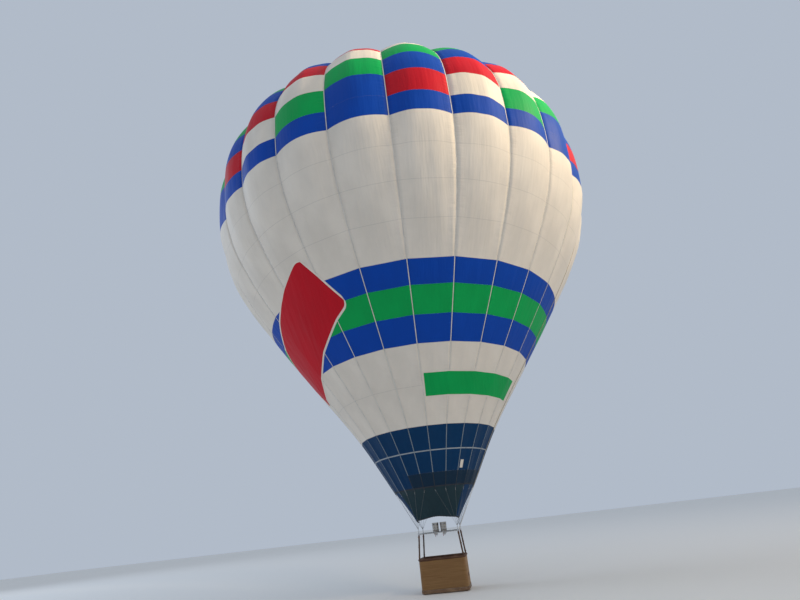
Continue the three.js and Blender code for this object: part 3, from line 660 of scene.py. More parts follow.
def folds(gore, share, s):
    """Small waves of the cloth: gathers that run off each tape and long soft pleats."""
    edge = to_tape(share, s)
    fullness = sag_at(s) / FULL_SAG
    phase = gore * GORE_PHASE
    gathers = np.sin(s * GATHER_WAVE + 1.3 * np.sin(s * 1.9 + phase) + phase + 2.2 * (share > 0.5))
    gathers = gathers * np.exp(-edge / GATHER_REACH) * np.minimum(edge / GATHER_EDGE, 1)
    pleats = np.sin(share * PLEAT_WAVE + 0.8 * np.sin(s * 0.45 + phase) + phase) * np.sin(math.pi * share)
    swell = 0.5 + 0.5 * np.sin(s * 0.8 + phase * 1.7)
    return GATHER_DEPTH * fullness * gathers + (PLEAT_LEAST + PLEAT_DEPTH * fullness) * pleats * swell


def folded(gore, share, s, lift=0.0):
    """Points of the cloth with its folds."""
    return skin(gore, share, s, folds(gore, share, s) + lift)


# The gores


def crown_bands(gore):
    """Stepped colours of one gore above the blue band. Columns: lowest length s, colour."""
    rows = []
    for level in range(STEP_LEVELS):
        colour = STEP_COLOURS[(gore - FIRST_STEP_GORE - level) % len(STEP_COLOURS)]
        rows.append((s_of(STEPS_Z) + level * STEP_RISE, colour))
    return [*rows, (s_of(STEPS_Z) + STEP_LEVELS * STEP_RISE, "white"), (VENT_S - VENT_BAND, "blue")]


def low_bands(gore):
    """Colours of one gore below the stepped crown. Columns: lowest length s, colour."""
    rows = [(s_of(z), colour) for z, colour in BANDS]
    if gore in DARK_GORES:
        rows[:1] = [(0.0, "dusk"), (s_of(DARK_TOP_Z), rows[0][1])]
    return rows


def seam_lengths(gore):
    """Lengths s of the sewn seams across a gore."""
    crown = [s for s, _ in crown_bands(gore)]
    top_seams = np.linspace(crown[-2], crown[-1], TOP_PANELS + 1)[1:-1].tolist()
    low = [s for s, _ in low_bands(gore)] + [s_of(z) for z in EXTRA_SEAMS]
    return np.array(sorted([*low, *crown, *top_seams, VENT_S]))


def make_gore(gore):
    bands = low_bands(gore) + crown_bands(gore)
    seams = seam_lengths(gore)
    lengths = []
    for low, high in zip(seams[:-1], seams[1:]):
        count = max(2, math.ceil((high - low) / ROW_SPACING))
        lengths += np.linspace(low, high, count, endpoint=False).tolist()
    lengths = np.array([*lengths, VENT_S])
    s, share = np.meshgrid(lengths, np.linspace(0, 1, GORE_COLUMNS), indexing="ij")
    colours = sorted({colour for _, colour in bands})
    of_band = np.array([colours.index(colour) for _, colour in bands])
    middle = (lengths[:-1] + lengths[1:]) / 2
    of_row = of_band[np.searchsorted([low for low, _ in bands], middle) - 1]
    name = gore_name(gore)
    made = cloth_shell(
        f"{name}_cloth",
        lambda lift: folded(gore, share, s, lift),
        CLOTH_HALF,
        [CLOTH[colour] for colour in colours],
        ((share - 0.5) * gore_width(s), s),
        cells=of_row[:, None],
        attributes={"edge": to_tape(share, s), "seam": np.abs(s[..., None] - seams).min(-1)},
    )
    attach(made, "balloon")
    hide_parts(name)
    return made


gores = [make_gore(gore) for gore in range(GORES)]


# Tools for the other pieces


def geometry_tree(name, build, defaults):
    """A Geometry Nodes tree with named inputs that ends in one mesh of one material."""
    group = bpy.data.node_groups.new(name, "GeometryNodeTree")
    group.interface.new_socket("Geometry", in_out="INPUT", socket_type="NodeSocketGeometry")
    for label, value in defaults.items():
        kind = "NodeSocketInt" if isinstance(value, int) else "NodeSocketFloat"
        group.interface.new_socket(label, in_out="INPUT", socket_type=kind).default_value = value
    group.interface.new_socket("Material", in_out="INPUT", socket_type="NodeSocketMaterial")
    group.interface.new_socket("Geometry", in_out="OUTPUT", socket_type="NodeSocketGeometry")
    tree = Tree(group)
    given = group.nodes.new("NodeGroupInput").outputs
    made = tree.add("GeometryNodeRealizeInstances", {"Geometry": build(tree, given)})
    made = tree.add("GeometryNodeSetMaterial", {"Geometry": made, "Material": given["Material"]})
    target = group.nodes.new("NodeGroupOutput")
    group.links.new(made, target.inputs["Geometry"])
    return group


def grown(source, tree, look, values):
    """Gives an object the plain mesh that a tree makes from it."""
    modifier = source.modifiers.new(tree.name, "NODES")
    modifier.node_group = tree
    sockets = {item.name: item.identifier for item in tree.interface.items_tree if item.in_out == "INPUT"}
    modifier[sockets["Material"]] = look
    for label, value in values.items():
        modifier[sockets[label]] = value
    evaluated = source.evaluated_get(bpy.context.evaluated_depsgraph_get())
    data = bpy.data.meshes.new_from_object(evaluated)
    source.modifiers.remove(modifier)
    source.data = data
    data.name = source.name
    return source


def stored(tree, geometry, name, value, kind="FLOAT"):
    inputs = {"Geometry": geometry, "Name": name, "Value": value}
    return tree.add("GeometryNodeStoreNamedAttribute", inputs, data_type=kind, domain="POINT")


def named(tree, name, kind="FLOAT"):
    return tree.add("GeometryNodeInputNamedAttribute", {"Name": name}, data_type=kind)


def smoothed(tree, geometry):
    return tree.add("GeometryNodeSetShadeSmooth", {"Geometry": geometry})


def rod_nodes(tree, given):
    """Round rods along the source's edges. They keep the length along and the way round for their look."""
    curve = tree.add("GeometryNodeMeshToCurve", {"Mesh": given["Geometry"]})
    curve = stored(tree, curve, "along", tree.add("GeometryNodeSplineParameter", out="Length"))
    sizes = {"Resolution": given["Sides"], "Radius": given["Radius"]}
    ring = tree.add("GeometryNodeCurvePrimitiveCircle", sizes)
    ring = stored(tree, ring, "round", tree.add("GeometryNodeInputPosition"), "FLOAT_VECTOR")
    inputs = {"Curve": curve, "Profile Curve": ring, "Fill Caps": True}
    return smoothed(tree, tree.add("GeometryNodeCurveToMesh", inputs))


def thread_nodes(tree, given):
    """Evenly spaced threads that follow the source's edges."""
    curve = tree.add("GeometryNodeMeshToCurve", {"Mesh": given["Geometry"]})
    spacing = {"Curve": curve, "Length": given["Spacing"]}
    spaced = tree.add("GeometryNodeCurveToPoints", spacing, mode="LENGTH")
    inputs = {
        "Points": spaced,
        "Instance": tree.add("GeometryNodeMeshUVSphere", {"Segments": 6, "Rings": 4, "Radius": 0.5}),
        "Rotation": spaced.node.outputs["Rotation"],
        "Scale": tree.vector(given["Width"], given["Width"], given["Length"]),
    }
    return smoothed(tree, tree.add("GeometryNodeInstanceOnPoints", inputs))


def stud_nodes(tree, given):
    """A stud, bolt head or jet on each point of the source, along the way that its point is given."""
    sizes = {
        "Vertices": given["Sides"],
        "Radius Top": given["Top"],
        "Radius Bottom": given["Radius"],
        "Depth": given["Height"],
    }
    stud = tree.add("GeometryNodeMeshCone", sizes)
    way = named(tree, "out", "FLOAT_VECTOR")
    facing = tree.add("FunctionNodeAlignRotationToVector", {"Vector": way}, axis="Z")
    inputs = {"Points": given["Geometry"], "Instance": stud, "Rotation": facing}
    return tree.add("GeometryNodeInstanceOnPoints", inputs)


ROD_TREE = geometry_tree("rods", rod_nodes, {"Radius": 0.01, "Sides": 12})
THREAD_TREE = geometry_tree("threads", thread_nodes, {"Spacing": 0.012, "Length": 0.008, "Width": 0.002})
STUD_TREE = geometry_tree("studs", stud_nodes, {"Radius": 0.006, "Top": 0.003, "Height": 0.003, "Sides": 8})
SHARP = math.radians(38)    # edges that bend more than this stay crisp
THREAD_WIDTH = 0.0022
UP = (0, 0, 1)
SIDES = (-1, 1)


def paths_object(name, paths, closed=False, attributes=None):
    """A mesh of edges along paths, with named values or ways on its points."""
    edges, first = [], 0
    for path in paths:
        order = np.arange(first, first + len(path))
        edges += np.stack([order[:-1], order[1:]], -1).tolist()
        edges += [[int(order[-1]), first]] if closed else []
        first += len(path)
    data = bpy.data.meshes.new(name)
    data.from_pydata(np.concatenate(paths).tolist(), edges, [])
    keep_on_points(data, attributes or {})
    return linked(name, data)


def rods(paths, radius, look, sides=12, closed=False):
    source = paths_object("rods", [np.asarray(path, float) for path in paths], closed)
    return grown(source, ROD_TREE, look, {"Radius": radius, "Sides": sides})


def threads(path, spacing=0.012, length=0.008, closed=False):
    source = paths_object("threads", [np.asarray(path, float)], closed)
    return grown(source, THREAD_TREE, THREAD, {"Spacing": spacing, "Length": length, "Width": THREAD_WIDTH})


def studs(points, ways, look, radius, top, height, sides=8):
    source = paths_object("studs", [np.array([point], float) for point in points], attributes={"out": ways})
    return grown(source, STUD_TREE, look, {"Radius": radius, "Top": top, "Height": height, "Sides": sides})


def from_bmesh(mesh, look):
    data = bpy.data.meshes.new("piece")
    mesh.to_mesh(data)
    mesh.free()
    data.materials.append(look)
    data.shade_smooth()
    return linked("piece", data)


def bmesh_of(points, faces):
    mesh = bmesh.new()
    corners = [mesh.verts.new(point) for point in points]
    for face in faces:
        mesh.faces.new([corners[k] for k in face])
    return mesh


def block(size, centre, look, bevel=0.004, turn=(0, 0, 0), segments=2):
    """A block with rounded edges."""
    mesh = bmesh.new()
    bmesh.ops.create_cube(mesh, size=1, matrix=Matrix.Diagonal((*size, 1)))
    bmesh.ops.bevel(mesh, geom=mesh.edges[:], offset=bevel, segments=segments, profile=0.5, affect="EDGES")
    mesh.transform(Matrix.Translation(centre) @ Euler(turn).to_matrix().to_4x4())
    return from_bmesh(mesh, look)


def turned(outline, place, look, segments=32, way=UP):
    """A turned piece. Columns of its outline: radius, height, from the foot up the outside."""
    points = np.concatenate([circle(r, z, segments) for r, z in outline])
    mesh = bmesh_of(points, tube_faces(len(outline), segments))
    bmesh.ops.remove_doubles(mesh, verts=mesh.verts[:], dist=1e-6)
    facing = Vector(UP).rotation_difference(Vector(way)).to_matrix().to_4x4()
    mesh.transform(Matrix.Translation(place) @ facing)
    return from_bmesh(mesh, look)


def swept(rings, look):
    """A solid through closed rings of points, the last one joined to the first."""
    mesh = bmesh_of(np.concatenate(rings), tube_faces(len(rings), len(rings[0]), closed=True))
    bmesh.ops.recalc_face_normals(mesh, faces=mesh.faces[:])
    return from_bmesh(mesh, look)


def circle(radius, z, count, centre=(0, 0)):
    turn = np.arange(count) * 2 * math.pi / count
    return lifted(np.stack([centre[0] + radius * np.cos(turn), centre[1] + radius * np.sin(turn)], -1), z)


def plan_loop(x, y, radius, steps):
    """Points round a rectangle with round corners, anticlockwise from its front left corner."""
    corners = [(-1, -1, 180), (1, -1, 270), (1, 1, 0), (-1, 1, 90)]
    points = []
    for right, back, start in corners:
        for angle in np.radians(np.linspace(start, start + 90, steps + 1)):
            across = right * (x - radius) + radius * math.cos(angle)
            points.append((across, back * (y - radius) + radius * math.sin(angle)))
    return np.array(points)


def lifted(points, z):
    """Points of a plan at a height."""
    return np.column_stack([points, np.full(len(points), z)])


def upright_loop(points, x):
    """Points of an outline set up in the YZ plane at x."""
    return np.column_stack([np.full(len(points), x), points])


def evenly(path, count, closed=False):
    """Evenly spaced points along a path."""
    path = np.asarray(path, float)
    if closed:
        path = np.concatenate([path, path[:1]])
    run = np.concatenate([[0], np.cumsum(np.linalg.norm(np.diff(path, axis=0), axis=1))])
    wanted = np.linspace(0, run[-1], count, endpoint=not closed)
    return np.stack([np.interp(wanted, run, column) for column in path.T], -1)


def outward(path):
    """Level ways out of a closed path that runs anticlockwise."""
    ahead = np.roll(path, -1, 0) - np.roll(path, 1, 0)
    return np.column_stack([ahead[:, 1], -ahead[:, 0]]) / np.linalg.norm(ahead, axis=1)[:, None]


def piece(name, parts, body, replaces=()):
    """Joins parts into one piece of the object that rides on a body."""
    if len(parts) > 1:
        with bpy.context.temp_override(active_object=parts[0], selected_editable_objects=parts):
            bpy.ops.object.join()
    made = parts[0]
    made.name = made.data.name = name
    made.data.set_sharp_from_angle(angle=SHARP)
    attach(made, body)
    if replaces:
        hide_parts(*replaces)
    return made


# The load tapes and the ring tapes

TAPE_COLUMNS = np.array([-0.5, -0.3, 0.0, 0.3, 0.5]) * TAPE_WIDTH
TAPE_STEP = 0.16            # between two rows of a load tape
TAPE_LOOKS = [DARK_TAPE, NAVY_TAPE, TAPE]
RING_HALF = 0.006           # half the thickness of a ring tape
RING_STEPS = 6              # straight runs of a ring tape on one gore
FLAT_ROWS, FLAT_COLUMNS = 200, 41               # the grid on which the steps across a gore are measured


def beside_tape(k, across, s, lift):
    """Points at distances across a load tape, on the cloth at either side of it."""
    share = np.abs(across) / np.maximum(gore_width(s), 2 * TAPE_WIDTH)
    left, right = skin(k - 1, 1 - share, s, lift), skin(k, share, s, lift)
    return np.where((np.asarray(across) < 0)[..., None], left, right)


def load_tape(k):
    dark_top, navy_top = s_of(DARK_TOP_Z), s_of(NAVY_TOP_Z)
    lengths = np.concatenate([
        [-TAPE_TAIL, -TAPE_TAIL / 2],
        np.linspace(0, dark_top, 4),
        np.linspace(dark_top, navy_top, 12)[1:],
        np.arange(navy_top + TAPE_STEP, VENT_S - TAPE_STEP / 2, TAPE_STEP),
        np.linspace(VENT_S, CROWN_S, 12),
    ])
    s, across = np.meshgrid(lengths, TAPE_COLUMNS, indexing="ij")
    beside_dark = k in DARK_GORES or (k - 1) % GORES in DARK_GORES
    middle = (lengths[:-1] + lengths[1:]) / 2
    zone = np.searchsorted([dark_top if beside_dark else -TAPE_TAIL, navy_top], middle)
    return cloth_shell(
        "tape",
        lambda lift: beside_tape(k, across, s, lift),
        TAPE_HALF,
        TAPE_LOOKS,
        (across, s),
        cells=zone[:, None],
        rim=1,
    )


def ring_tape(middle, width, look):
    rows, shares = middle + np.array([-0.5, 0.0, 0.5]) * width, np.linspace(0, 1, RING_STEPS + 1)
    s, share = np.meshgrid(rows, shares, indexing="ij")
    uv = (s - middle, share * gore_width(middle))
    return [
        cloth_shell("ring", lambda lift: folded(gore, share, s, lift), RING_HALF, [look], uv)
        for gore in range(GORES)
    ]


def make_tapes():
    parts = [load_tape(k) for k in range(GORES)]
    parts += ring_tape(VENT_S - EDGE_RING_WIDTH / 2, EDGE_RING_WIDTH, TAPE)
    parts += ring_tape(s_of(PALE_RING_Z), PALE_RING_WIDTH, PALE_TAPE)
    parts += ring_tape(EDGE_RING_WIDTH / 2, EDGE_RING_WIDTH, DARK_TAPE)
    piece("load_tape_webbing", parts, "balloon", ["load_tapes"])


def declare_gores():
    """Measures the steps across each gore's folded cloth on a grid up to the vent, and keeps none of them."""
    lengths, shares = np.linspace(0, VENT_S, FLAT_ROWS), np.linspace(0, 1, FLAT_COLUMNS)
    s, share = np.meshgrid(lengths, shares, indexing="ij")
    for gore, made in enumerate(gores):
        across = np.diff(folded(gore, share, s), axis=1)


make_tapes()
declare_gores()


# The banners, sewn on over the load tapes

THIN_HALF = 0.0015          # half the thickness of the banners and the parachute
BANNER_LIFT = 0.0105        # from the middle of the envelope's cloth out to the middle of a banner
# A tilted banner, laid out flat on the cone round an azimuth and height. It starts at its right hand end, at
# a place and on a way in degrees, and bends by so many degrees a metre.
TILTED = {
    "azimuth": -42.0,
    "z": 9.6,
    "start": (2.49, 1.42),
    "way": -163.6,
    "bend": 4.58,
    "length": 7.0,
    "half": 1.37,
    "corner": 0.42,
    "border": 0.085,
}
TILTED_ROWS, TILTED_COLUMNS = 52, 120
LEVEL_ROWS = 6
LEVEL_STEP = 1.25           # degrees between two columns of a level banner
# Columns: name, azimuths of its ends, heights of its edges, width of its border, colour
LEVEL_BANNERS = [
    ("green_banner", 8.1, 77.5, 6.64, 7.46, 0.05, "green"),
    ("white_patch", 39.4, 43.4, 4.2, 4.48, 0.02, "white"),
]


def gore_at(azimuth):
    return np.floor(azimuth / GORE_TURN + 0.5)


def on_cloth(azimuth, s, lift):
    """Points of the cloth at azimuths in radians."""
    gore = gore_at(azimuth)
    from_middle = azimuth - gore * GORE_TURN
    share = 0.5 + 0.5 * np.tan(from_middle) / math.tan(GORE_TURN / 2)
    return folded(gore, share, s, lift)


def banner(name, azimuth, s, colour):
    """A banner with a white border, from grids of azimuths and lengths s, sewn to the gores under it."""
    border = np.zeros([count - 1 for count in s.shape], int)
    border[[0, -1], :] = border[:, [0, -1]] = 1
    made = cloth_shell(
        name,
        lambda lift: on_cloth(azimuth, s, BANNER_LIFT + lift),
        THIN_HALF,
        [CLOTH[colour], CLOTH["white"]],
        (azimuth * place_at(s)[0], s),
        cells=border,
        rim=1,
        attributes={"edge": np.ones(s.shape), "seam": np.ones(s.shape)},
    )
    piece(name, [made], "balloon")


def tilted_banner():
    centre_s = s_of(TILTED["z"])
    r, _, _, out_z = profile(centre_s)
    slope = float(-out_z)                           # sine of the cone's half angle
    apex = float(r) / slope
    half_u, half_v = TILTED["length"] / 2, TILTED["half"]
    corner, border = TILTED["corner"], TILTED["border"]
    inner_u = half_u - border
    u = np.concatenate([[-half_u], np.linspace(-inner_u, inner_u, TILTED_COLUMNS), [half_u]])
    from_end = np.minimum(half_u - np.abs(u), corner)
    v_half = half_v - corner + np.sqrt(np.maximum(corner**2 - (corner - from_end) ** 2, 0))
    v = np.linspace(-1, 1, TILTED_ROWS)[:, None] * (v_half - border)
    v = np.vstack([-v_half, v, v_half])
    bend_r = math.degrees(1) / TILTED["bend"]
    start = math.radians(TILTED["way"])
    turn = start + (u + half_u) / bend_r
    x = TILTED["start"][0] - bend_r * math.sin(start) + (bend_r - v) * np.sin(turn)
    y = TILTED["start"][1] + bend_r * math.cos(start) - (bend_r - v) * np.cos(turn)
    azimuth = math.radians(TILTED["azimuth"]) + np.arctan2(x, apex + y) / slope
    s = centre_s + np.hypot(x, apex + y) - apex
    banner("red_banner", azimuth, s, "red")


def level_banner(name, first, last, low, high, border, colour):
    low, high = s_of(low), s_of(high)
    first, last = math.radians(first), math.radians(last)
    edge = border / place_at(low)[0]
    count = max(4, round((last - first) / math.radians(LEVEL_STEP)))
    rows = np.concatenate([[low], np.linspace(low + border, high - border, LEVEL_ROWS), [high]])
    columns = np.concatenate([[first], np.linspace(first + edge, last - edge, count), [last]])
    azimuth, s = np.meshgrid(columns, rows)
    banner(name, azimuth, s, colour)


tilted_banner()
for row in LEVEL_BANNERS:
    level_banner(*row)


# The parachute that closes the vent, and the crown ring

PARACHUTE_LAP = 0.26        # how far the parachute's edge reaches below the vent's edge
PARACHUTE_BELOW = 0.0123    # from the middle of the tapes down to its middle
PARACHUTE_PUFF = 0.012      # how far it hangs down between two tapes
PARACHUTE_BLUE = 0.55       # length of its blue edge above the vent's edge
PARACHUTE_PATCH = 1.0       # radius of the seam round its middle
PARACHUTE_COLUMNS = 8       # on each gore
CROWN_RING_R = 0.152
CROWN_RING_BAR = 0.012
CROWN_RING_Z = 24.145


def lidded_faces(rows, sides):
    """Faces of a closed shell between two sheets of rings, the outer one first, each ending in a lid."""
    count = rows * sides
    outer = tube_faces(rows, sides)
    lid = count - sides + np.arange(sides)
    foot = rim_faces(np.arange(sides), count)
    return [*outer, *(outer[:, ::-1] + count), *foot, lid, (lid + count)[::-1]]


def make_parachute():
    lengths = np.concatenate([
        np.linspace(VENT_S - PARACHUTE_LAP, VENT_S, 4)[:-1],
        np.linspace(VENT_S, CROWN_S, 20),
    ])
    rows, sides = len(lengths), PARACHUTE_COLUMNS * GORES
    s, column = np.meshgrid(lengths, np.arange(sides), indexing="ij")
    share = column / PARACHUTE_COLUMNS % 1
    azimuth = (column / PARACHUTE_COLUMNS - 0.5) * GORE_TURN
    straight = math.cos(GORE_TURN / 2) / np.cos((share - 0.5) * GORE_TURN)
    r, z, out_r, out_z = profile(s)
    puff = PARACHUTE_PUFF * np.sin(share * math.pi) * np.minimum(1, r / PARACHUTE_LAP)
    points = []
    for side in (1, -1):
        low = side * THIN_HALF - PARACHUTE_BELOW - puff
        points.append(at(azimuth, (r + out_r * low) * straight, z + out_z * low).reshape(-1, 3))
    blue_top = VENT_S + PARACHUTE_BLUE
    is_white = ((s[:-1] + s[1:]) / 2 > blue_top).ravel().astype(int)
    indices = np.concatenate([is_white, is_white, np.zeros(sides, int), [1, 1]])
    seams = np.array([VENT_S - PARACHUTE_LAP, blue_top, CROWN_S - PARACHUTE_PATCH])
    attributes = {
        "edge": np.minimum(share, 1 - share) * r * GORE_TURN,
        "seam": np.abs(s[..., None] - seams).min(-1),
    }
    made = mesh_object(
        "vent",
        np.concatenate(points),
        lidded_faces(rows, sides),
        [CLOTH["blue"], CLOTH["white"]],
        indices,
        np.tile(points[0][:, :2], (2, 1)),
        {label: np.tile(values.ravel(), 2) for label, values in attributes.items()},
    )
    piece("parachute", [made], "vent", ["parachute_vent"])


def make_crown_ring():
    bar = rods([circle(CROWN_RING_R, CROWN_RING_Z, 48)], CROWN_RING_BAR, ALUMINIUM, closed=True)
    piece("crown_ring_bar", [bar], "balloon", ["crown_ring"])


make_parachute()
make_crown_ring()


# The scoop

# Columns: name, azimuths of its ends, colour
SCOOP_PANELS = [
    ("scoop_left", -97.5, -52.5, "navy"),
    ("scoop_front", -52.5, 52.5, "grey"),
    ("scoop_right", 52.5, 97.5, "navy"),
]
SCOOP_FOOT = {"x": 0.83, "y": 0.64, "r": 0.985, "z": 2.44, "arch": 0.15}
SCOOP_INSIDE = 0.0123       # from the middle of the tapes in to its middle
SCOOP_HALF = 0.003
SCOOP_LAP = 0.015           # how far it reaches up past the mouth
SCOOP_HOLLOW = 0.022        # how far it hollows inwards halfway up, with a slow swing round it
SCOOP_SWING = 0.01
FOOT_RIPPLE = 0.006         # depth of the ripples along its lower edge
SCOOP_RIPPLE = 0.004        # depth of the ripples halfway up
SCOOP_SEAM = 0.0006         # gap to the next panel
SCOOP_ROWS = 26
SCOOP_STEP = 1.5            # degrees between two columns
SCOOP_LENGTH = 1.3
SCOOP_MIDDLE_R = 1.25
HEM_SHARES = np.array([-0.004, 0.015, 0.03])    # of the scoop's length, from its lower edge
HEM_THICK = 0.0015


def scoop_foot(azimuth):
    """Radius and height of the scoop's lower edge."""
    across = np.maximum(np.abs(np.sin(azimuth)), 1e-6)
    ahead = np.maximum(np.abs(np.cos(azimuth)), 1e-6)
    radius = np.minimum(np.minimum(SCOOP_FOOT["x"] / across, SCOOP_FOOT["y"] / ahead), SCOOP_FOOT["r"])
    return radius, SCOOP_FOOT["z"] + SCOOP_FOOT["arch"] * np.maximum(0, np.cos(azimuth)) ** 2


def scoop_skin(azimuth, share, lift):
    """Points of the scoop. share runs from its lower edge to the envelope's mouth."""
    foot_r, foot_z = scoop_foot(azimuth)
    head_r, head_z = MOUTH_R + SCOOP_LAP * RUN[0], MOUTH_Z + SCOOP_LAP * RUN[1]
    hollow = np.sin(math.pi * np.clip(share, 0, 1)) * (SCOOP_HOLLOW + SCOOP_SWING * np.sin(azimuth * 7))
    ripple = FOOT_RIPPLE * np.sin(azimuth * 46 + 3 * share) * (1 - share) ** 2
    ripple = ripple + SCOOP_RIPPLE * np.sin(azimuth * 21 + 9 * share + 1.3) * np.sin(math.pi * share)
    out = lift - SCOOP_INSIDE - hollow + ripple
    r = foot_r * (1 - share) + head_r * share
    z = foot_z * (1 - share) + head_z * share
    along_r, along_z = head_r - foot_r, head_z - foot_z
    length = np.hypot(along_r, along_z)
    return at(azimuth, r + out * along_z / length, z - out * along_r / length)


def scoop_panel(name, first, last, colour):
    trim = SCOOP_SEAM / SCOOP_FOOT["r"] / 2
    count = round((last - first) / SCOOP_STEP) + 1
    azimuths = np.linspace(math.radians(first) + trim, math.radians(last) - trim, count)
    share, azimuth = np.meshgrid(np.linspace(0, 1, SCOOP_ROWS), azimuths, indexing="ij")
    to_edge = np.minimum(azimuth - azimuths[0], azimuths[-1] - azimuth) * SCOOP_MIDDLE_R
    to_seam = np.minimum(share, np.abs(share - 0.5)) * SCOOP_LENGTH
    made = cloth_shell(
        name,
        lambda lift: scoop_skin(azimuth, share, lift),
        SCOOP_HALF,
        [CLOTH[colour]],
        (azimuth * SCOOP_MIDDLE_R, share * SCOOP_LENGTH),
        attributes={"edge": to_edge, "seam": to_seam},
    )
    cloth = piece(f"{name}_cloth", [made], "balloon", [name])
    share, azimuth = np.meshgrid(HEM_SHARES, azimuths, indexing="ij")
    hem = cloth_shell(
        "hem",
        lambda lift: scoop_skin(azimuth, share, lift),
        SCOOP_HALF + HEM_THICK,
        [DARK_TAPE],
        ((share - HEM_SHARES[1]) * SCOOP_LENGTH, azimuth * SCOOP_MIDDLE_R),
    )
    hem = piece(f"{name}_hem", [hem], "balloon")


for row in SCOOP_PANELS:
    scoop_panel(*row)


# Suspension cables, karabiners and the burner frame

# Half lengths of the frame, its height, its tubes, and where its two cross tubes run
FRAME = {"x": 0.78, "y": 0.58, "z": 2.03, "tube": 0.019, "cross_x": 0.43, "cross_tube": 0.016}
# Columns: name, side, front or back, its first load tape
CORNERS = [
    ("front_right", 1, -1, 1),
    ("back_right", 1, 1, 7),
    ("back_left", -1, 1, 13),
    ("front_left", -1, -1, 19),
]
CORNER_BLOCK = (0.07, 0.07, 0.06)
GIMBAL_SEAT = (0.05, 0.06, 0.06)
KARABINER = {"width": 0.044, "length": 0.084, "bar": 0.01, "corner": 0.0145}
EYE = {"thick": 0.012, "width": 0.04, "corner": 0.009, "hole": 0.02, "hole_corner": 0.0085, "bridge": 0.01}
GAP = 0.0003                # between two pieces that touch
LOW_BAR_Z = FRAME["z"] + CORNER_BLOCK[2] / 2 + 0.026
HIGH_BAR_Z = LOW_BAR_Z + KARABINER["length"] - KARABINER["bar"]
# From the middle of a karabiner's bar to the near and far ends of the hole round it
EYE_NEAR, EYE_FAR = KARABINER["bar"] / 2 + GAP, 0.014
LUG_HOLE = (LOW_BAR_Z - EYE_FAR, LOW_BAR_Z + EYE_NEAR)
CABLE_HOLE = (HIGH_BAR_Z - EYE_NEAR, HIGH_BAR_Z + EYE_FAR)
CABLE_FOOT_Z = CABLE_HOLE[1] + 0.016
CABLE_R, CABLE_PITCH = 0.004, 0.005
LINK = {"width": 0.022, "bar": 0.0032, "length": 0.046}


def eye_plate(x, y, low, high, hole, look):
    """A plate in the YZ plane with a hole for a karabiner's bar."""
    rings = []
    outline = plan_loop(EYE["width"] / 2, (high - low) / 2, EYE["corner"], 5) + (y, (low + high) / 2)
    inside = plan_loop(EYE["hole"] / 2, (hole[1] - hole[0]) / 2, EYE["hole_corner"], 5) + (y, sum(hole) / 2)
    for side, loop in ((1, outline), (1, inside), (-1, inside), (-1, outline)):
        rings.append(upright_loop(loop, x + side * EYE["thick"] / 2))
    return swept(rings, look)


def link_ring(azimuth):
    """A bow link in the plane of the cloth, below a load tape."""
    side = np.array([math.cos(azimuth), math.sin(azimuth), 0])
    down = -at(azimuth, *RUN)
    centre = at(azimuth, MOUTH_R, MOUTH_Z) + down * (TAPE_TAIL + GAP + LINK["length"] / 2)
    half_width, half_length = LINK["width"] / 2 - LINK["bar"], LINK["length"] / 2 - LINK["bar"]
    loop = plan_loop(half_width, half_length, half_width - 0.001, 5)
    return [centre + side * x + down * y for x, y in loop]


def cable_set(name, x, y, first_tape):
    """Six cables from the load tapes of a corner to its karabiner, each with a link and two ferrules."""
    foot_x, foot_y = x * FRAME["x"], y * FRAME["y"]
    count = GORES // len(CORNERS)
    plate = eye_plate(foot_x, foot_y, CABLE_HOLE[0] - EYE["bridge"], CABLE_FOOT_Z + 0.006, CABLE_HOLE, STEEL)
    cables, ferrules, links = [], [], []
    for i in range(count):
        foot = np.array([foot_x, foot_y + (i - (count - 1) / 2) * CABLE_PITCH * x, CABLE_FOOT_Z])
        links.append(link_ring(tape_azimuth(first_tape + i)))
        head = np.mean(links[-1], axis=0)
        way = (foot - head) / np.linalg.norm(foot - head)
        start = head + way * 0.004
        cables.append(evenly([start, foot], 12))
        ferrules += [[start + way * 0.03, start + way * 0.075], [foot - way * 0.07, foot - way * 0.02]]
    parts = [
        plate,
        rods(cables, CABLE_R, CABLE, sides=8),
        rods(ferrules, CABLE_R * 1.5, ALUMINIUM, sides=10),
        rods(links, LINK["bar"], STEEL, sides=8, closed=True),
    ]
    piece(f"cable_set_{name}", parts, "balloon", [f"cables_{name}"])


def karabiner(name, x, y):
    half_w, half_l = (KARABINER["width"] - KARABINER["bar"]) / 2, (KARABINER["length"] - KARABINER["bar"]) / 2
    middle = np.array([x * FRAME["x"], y * FRAME["y"], (LOW_BAR_Z + HIGH_BAR_Z) / 2])
    loop = [middle + (across, 0, rise) for across, rise in plan_loop(half_w, half_l, KARABINER["corner"], 6)]
    gate = [middle + (half_w, 0, -0.014), middle + (half_w, 0, 0.012)]
    parts = [
        rods([loop], KARABINER["bar"] / 2, STEEL, closed=True),
        rods([gate], KARABINER["bar"] * 0.68, ALUMINIUM),
    ]
    piece(f"karabiner_ring_{name}", parts, "balloon", [f"karabiner_{name}"])


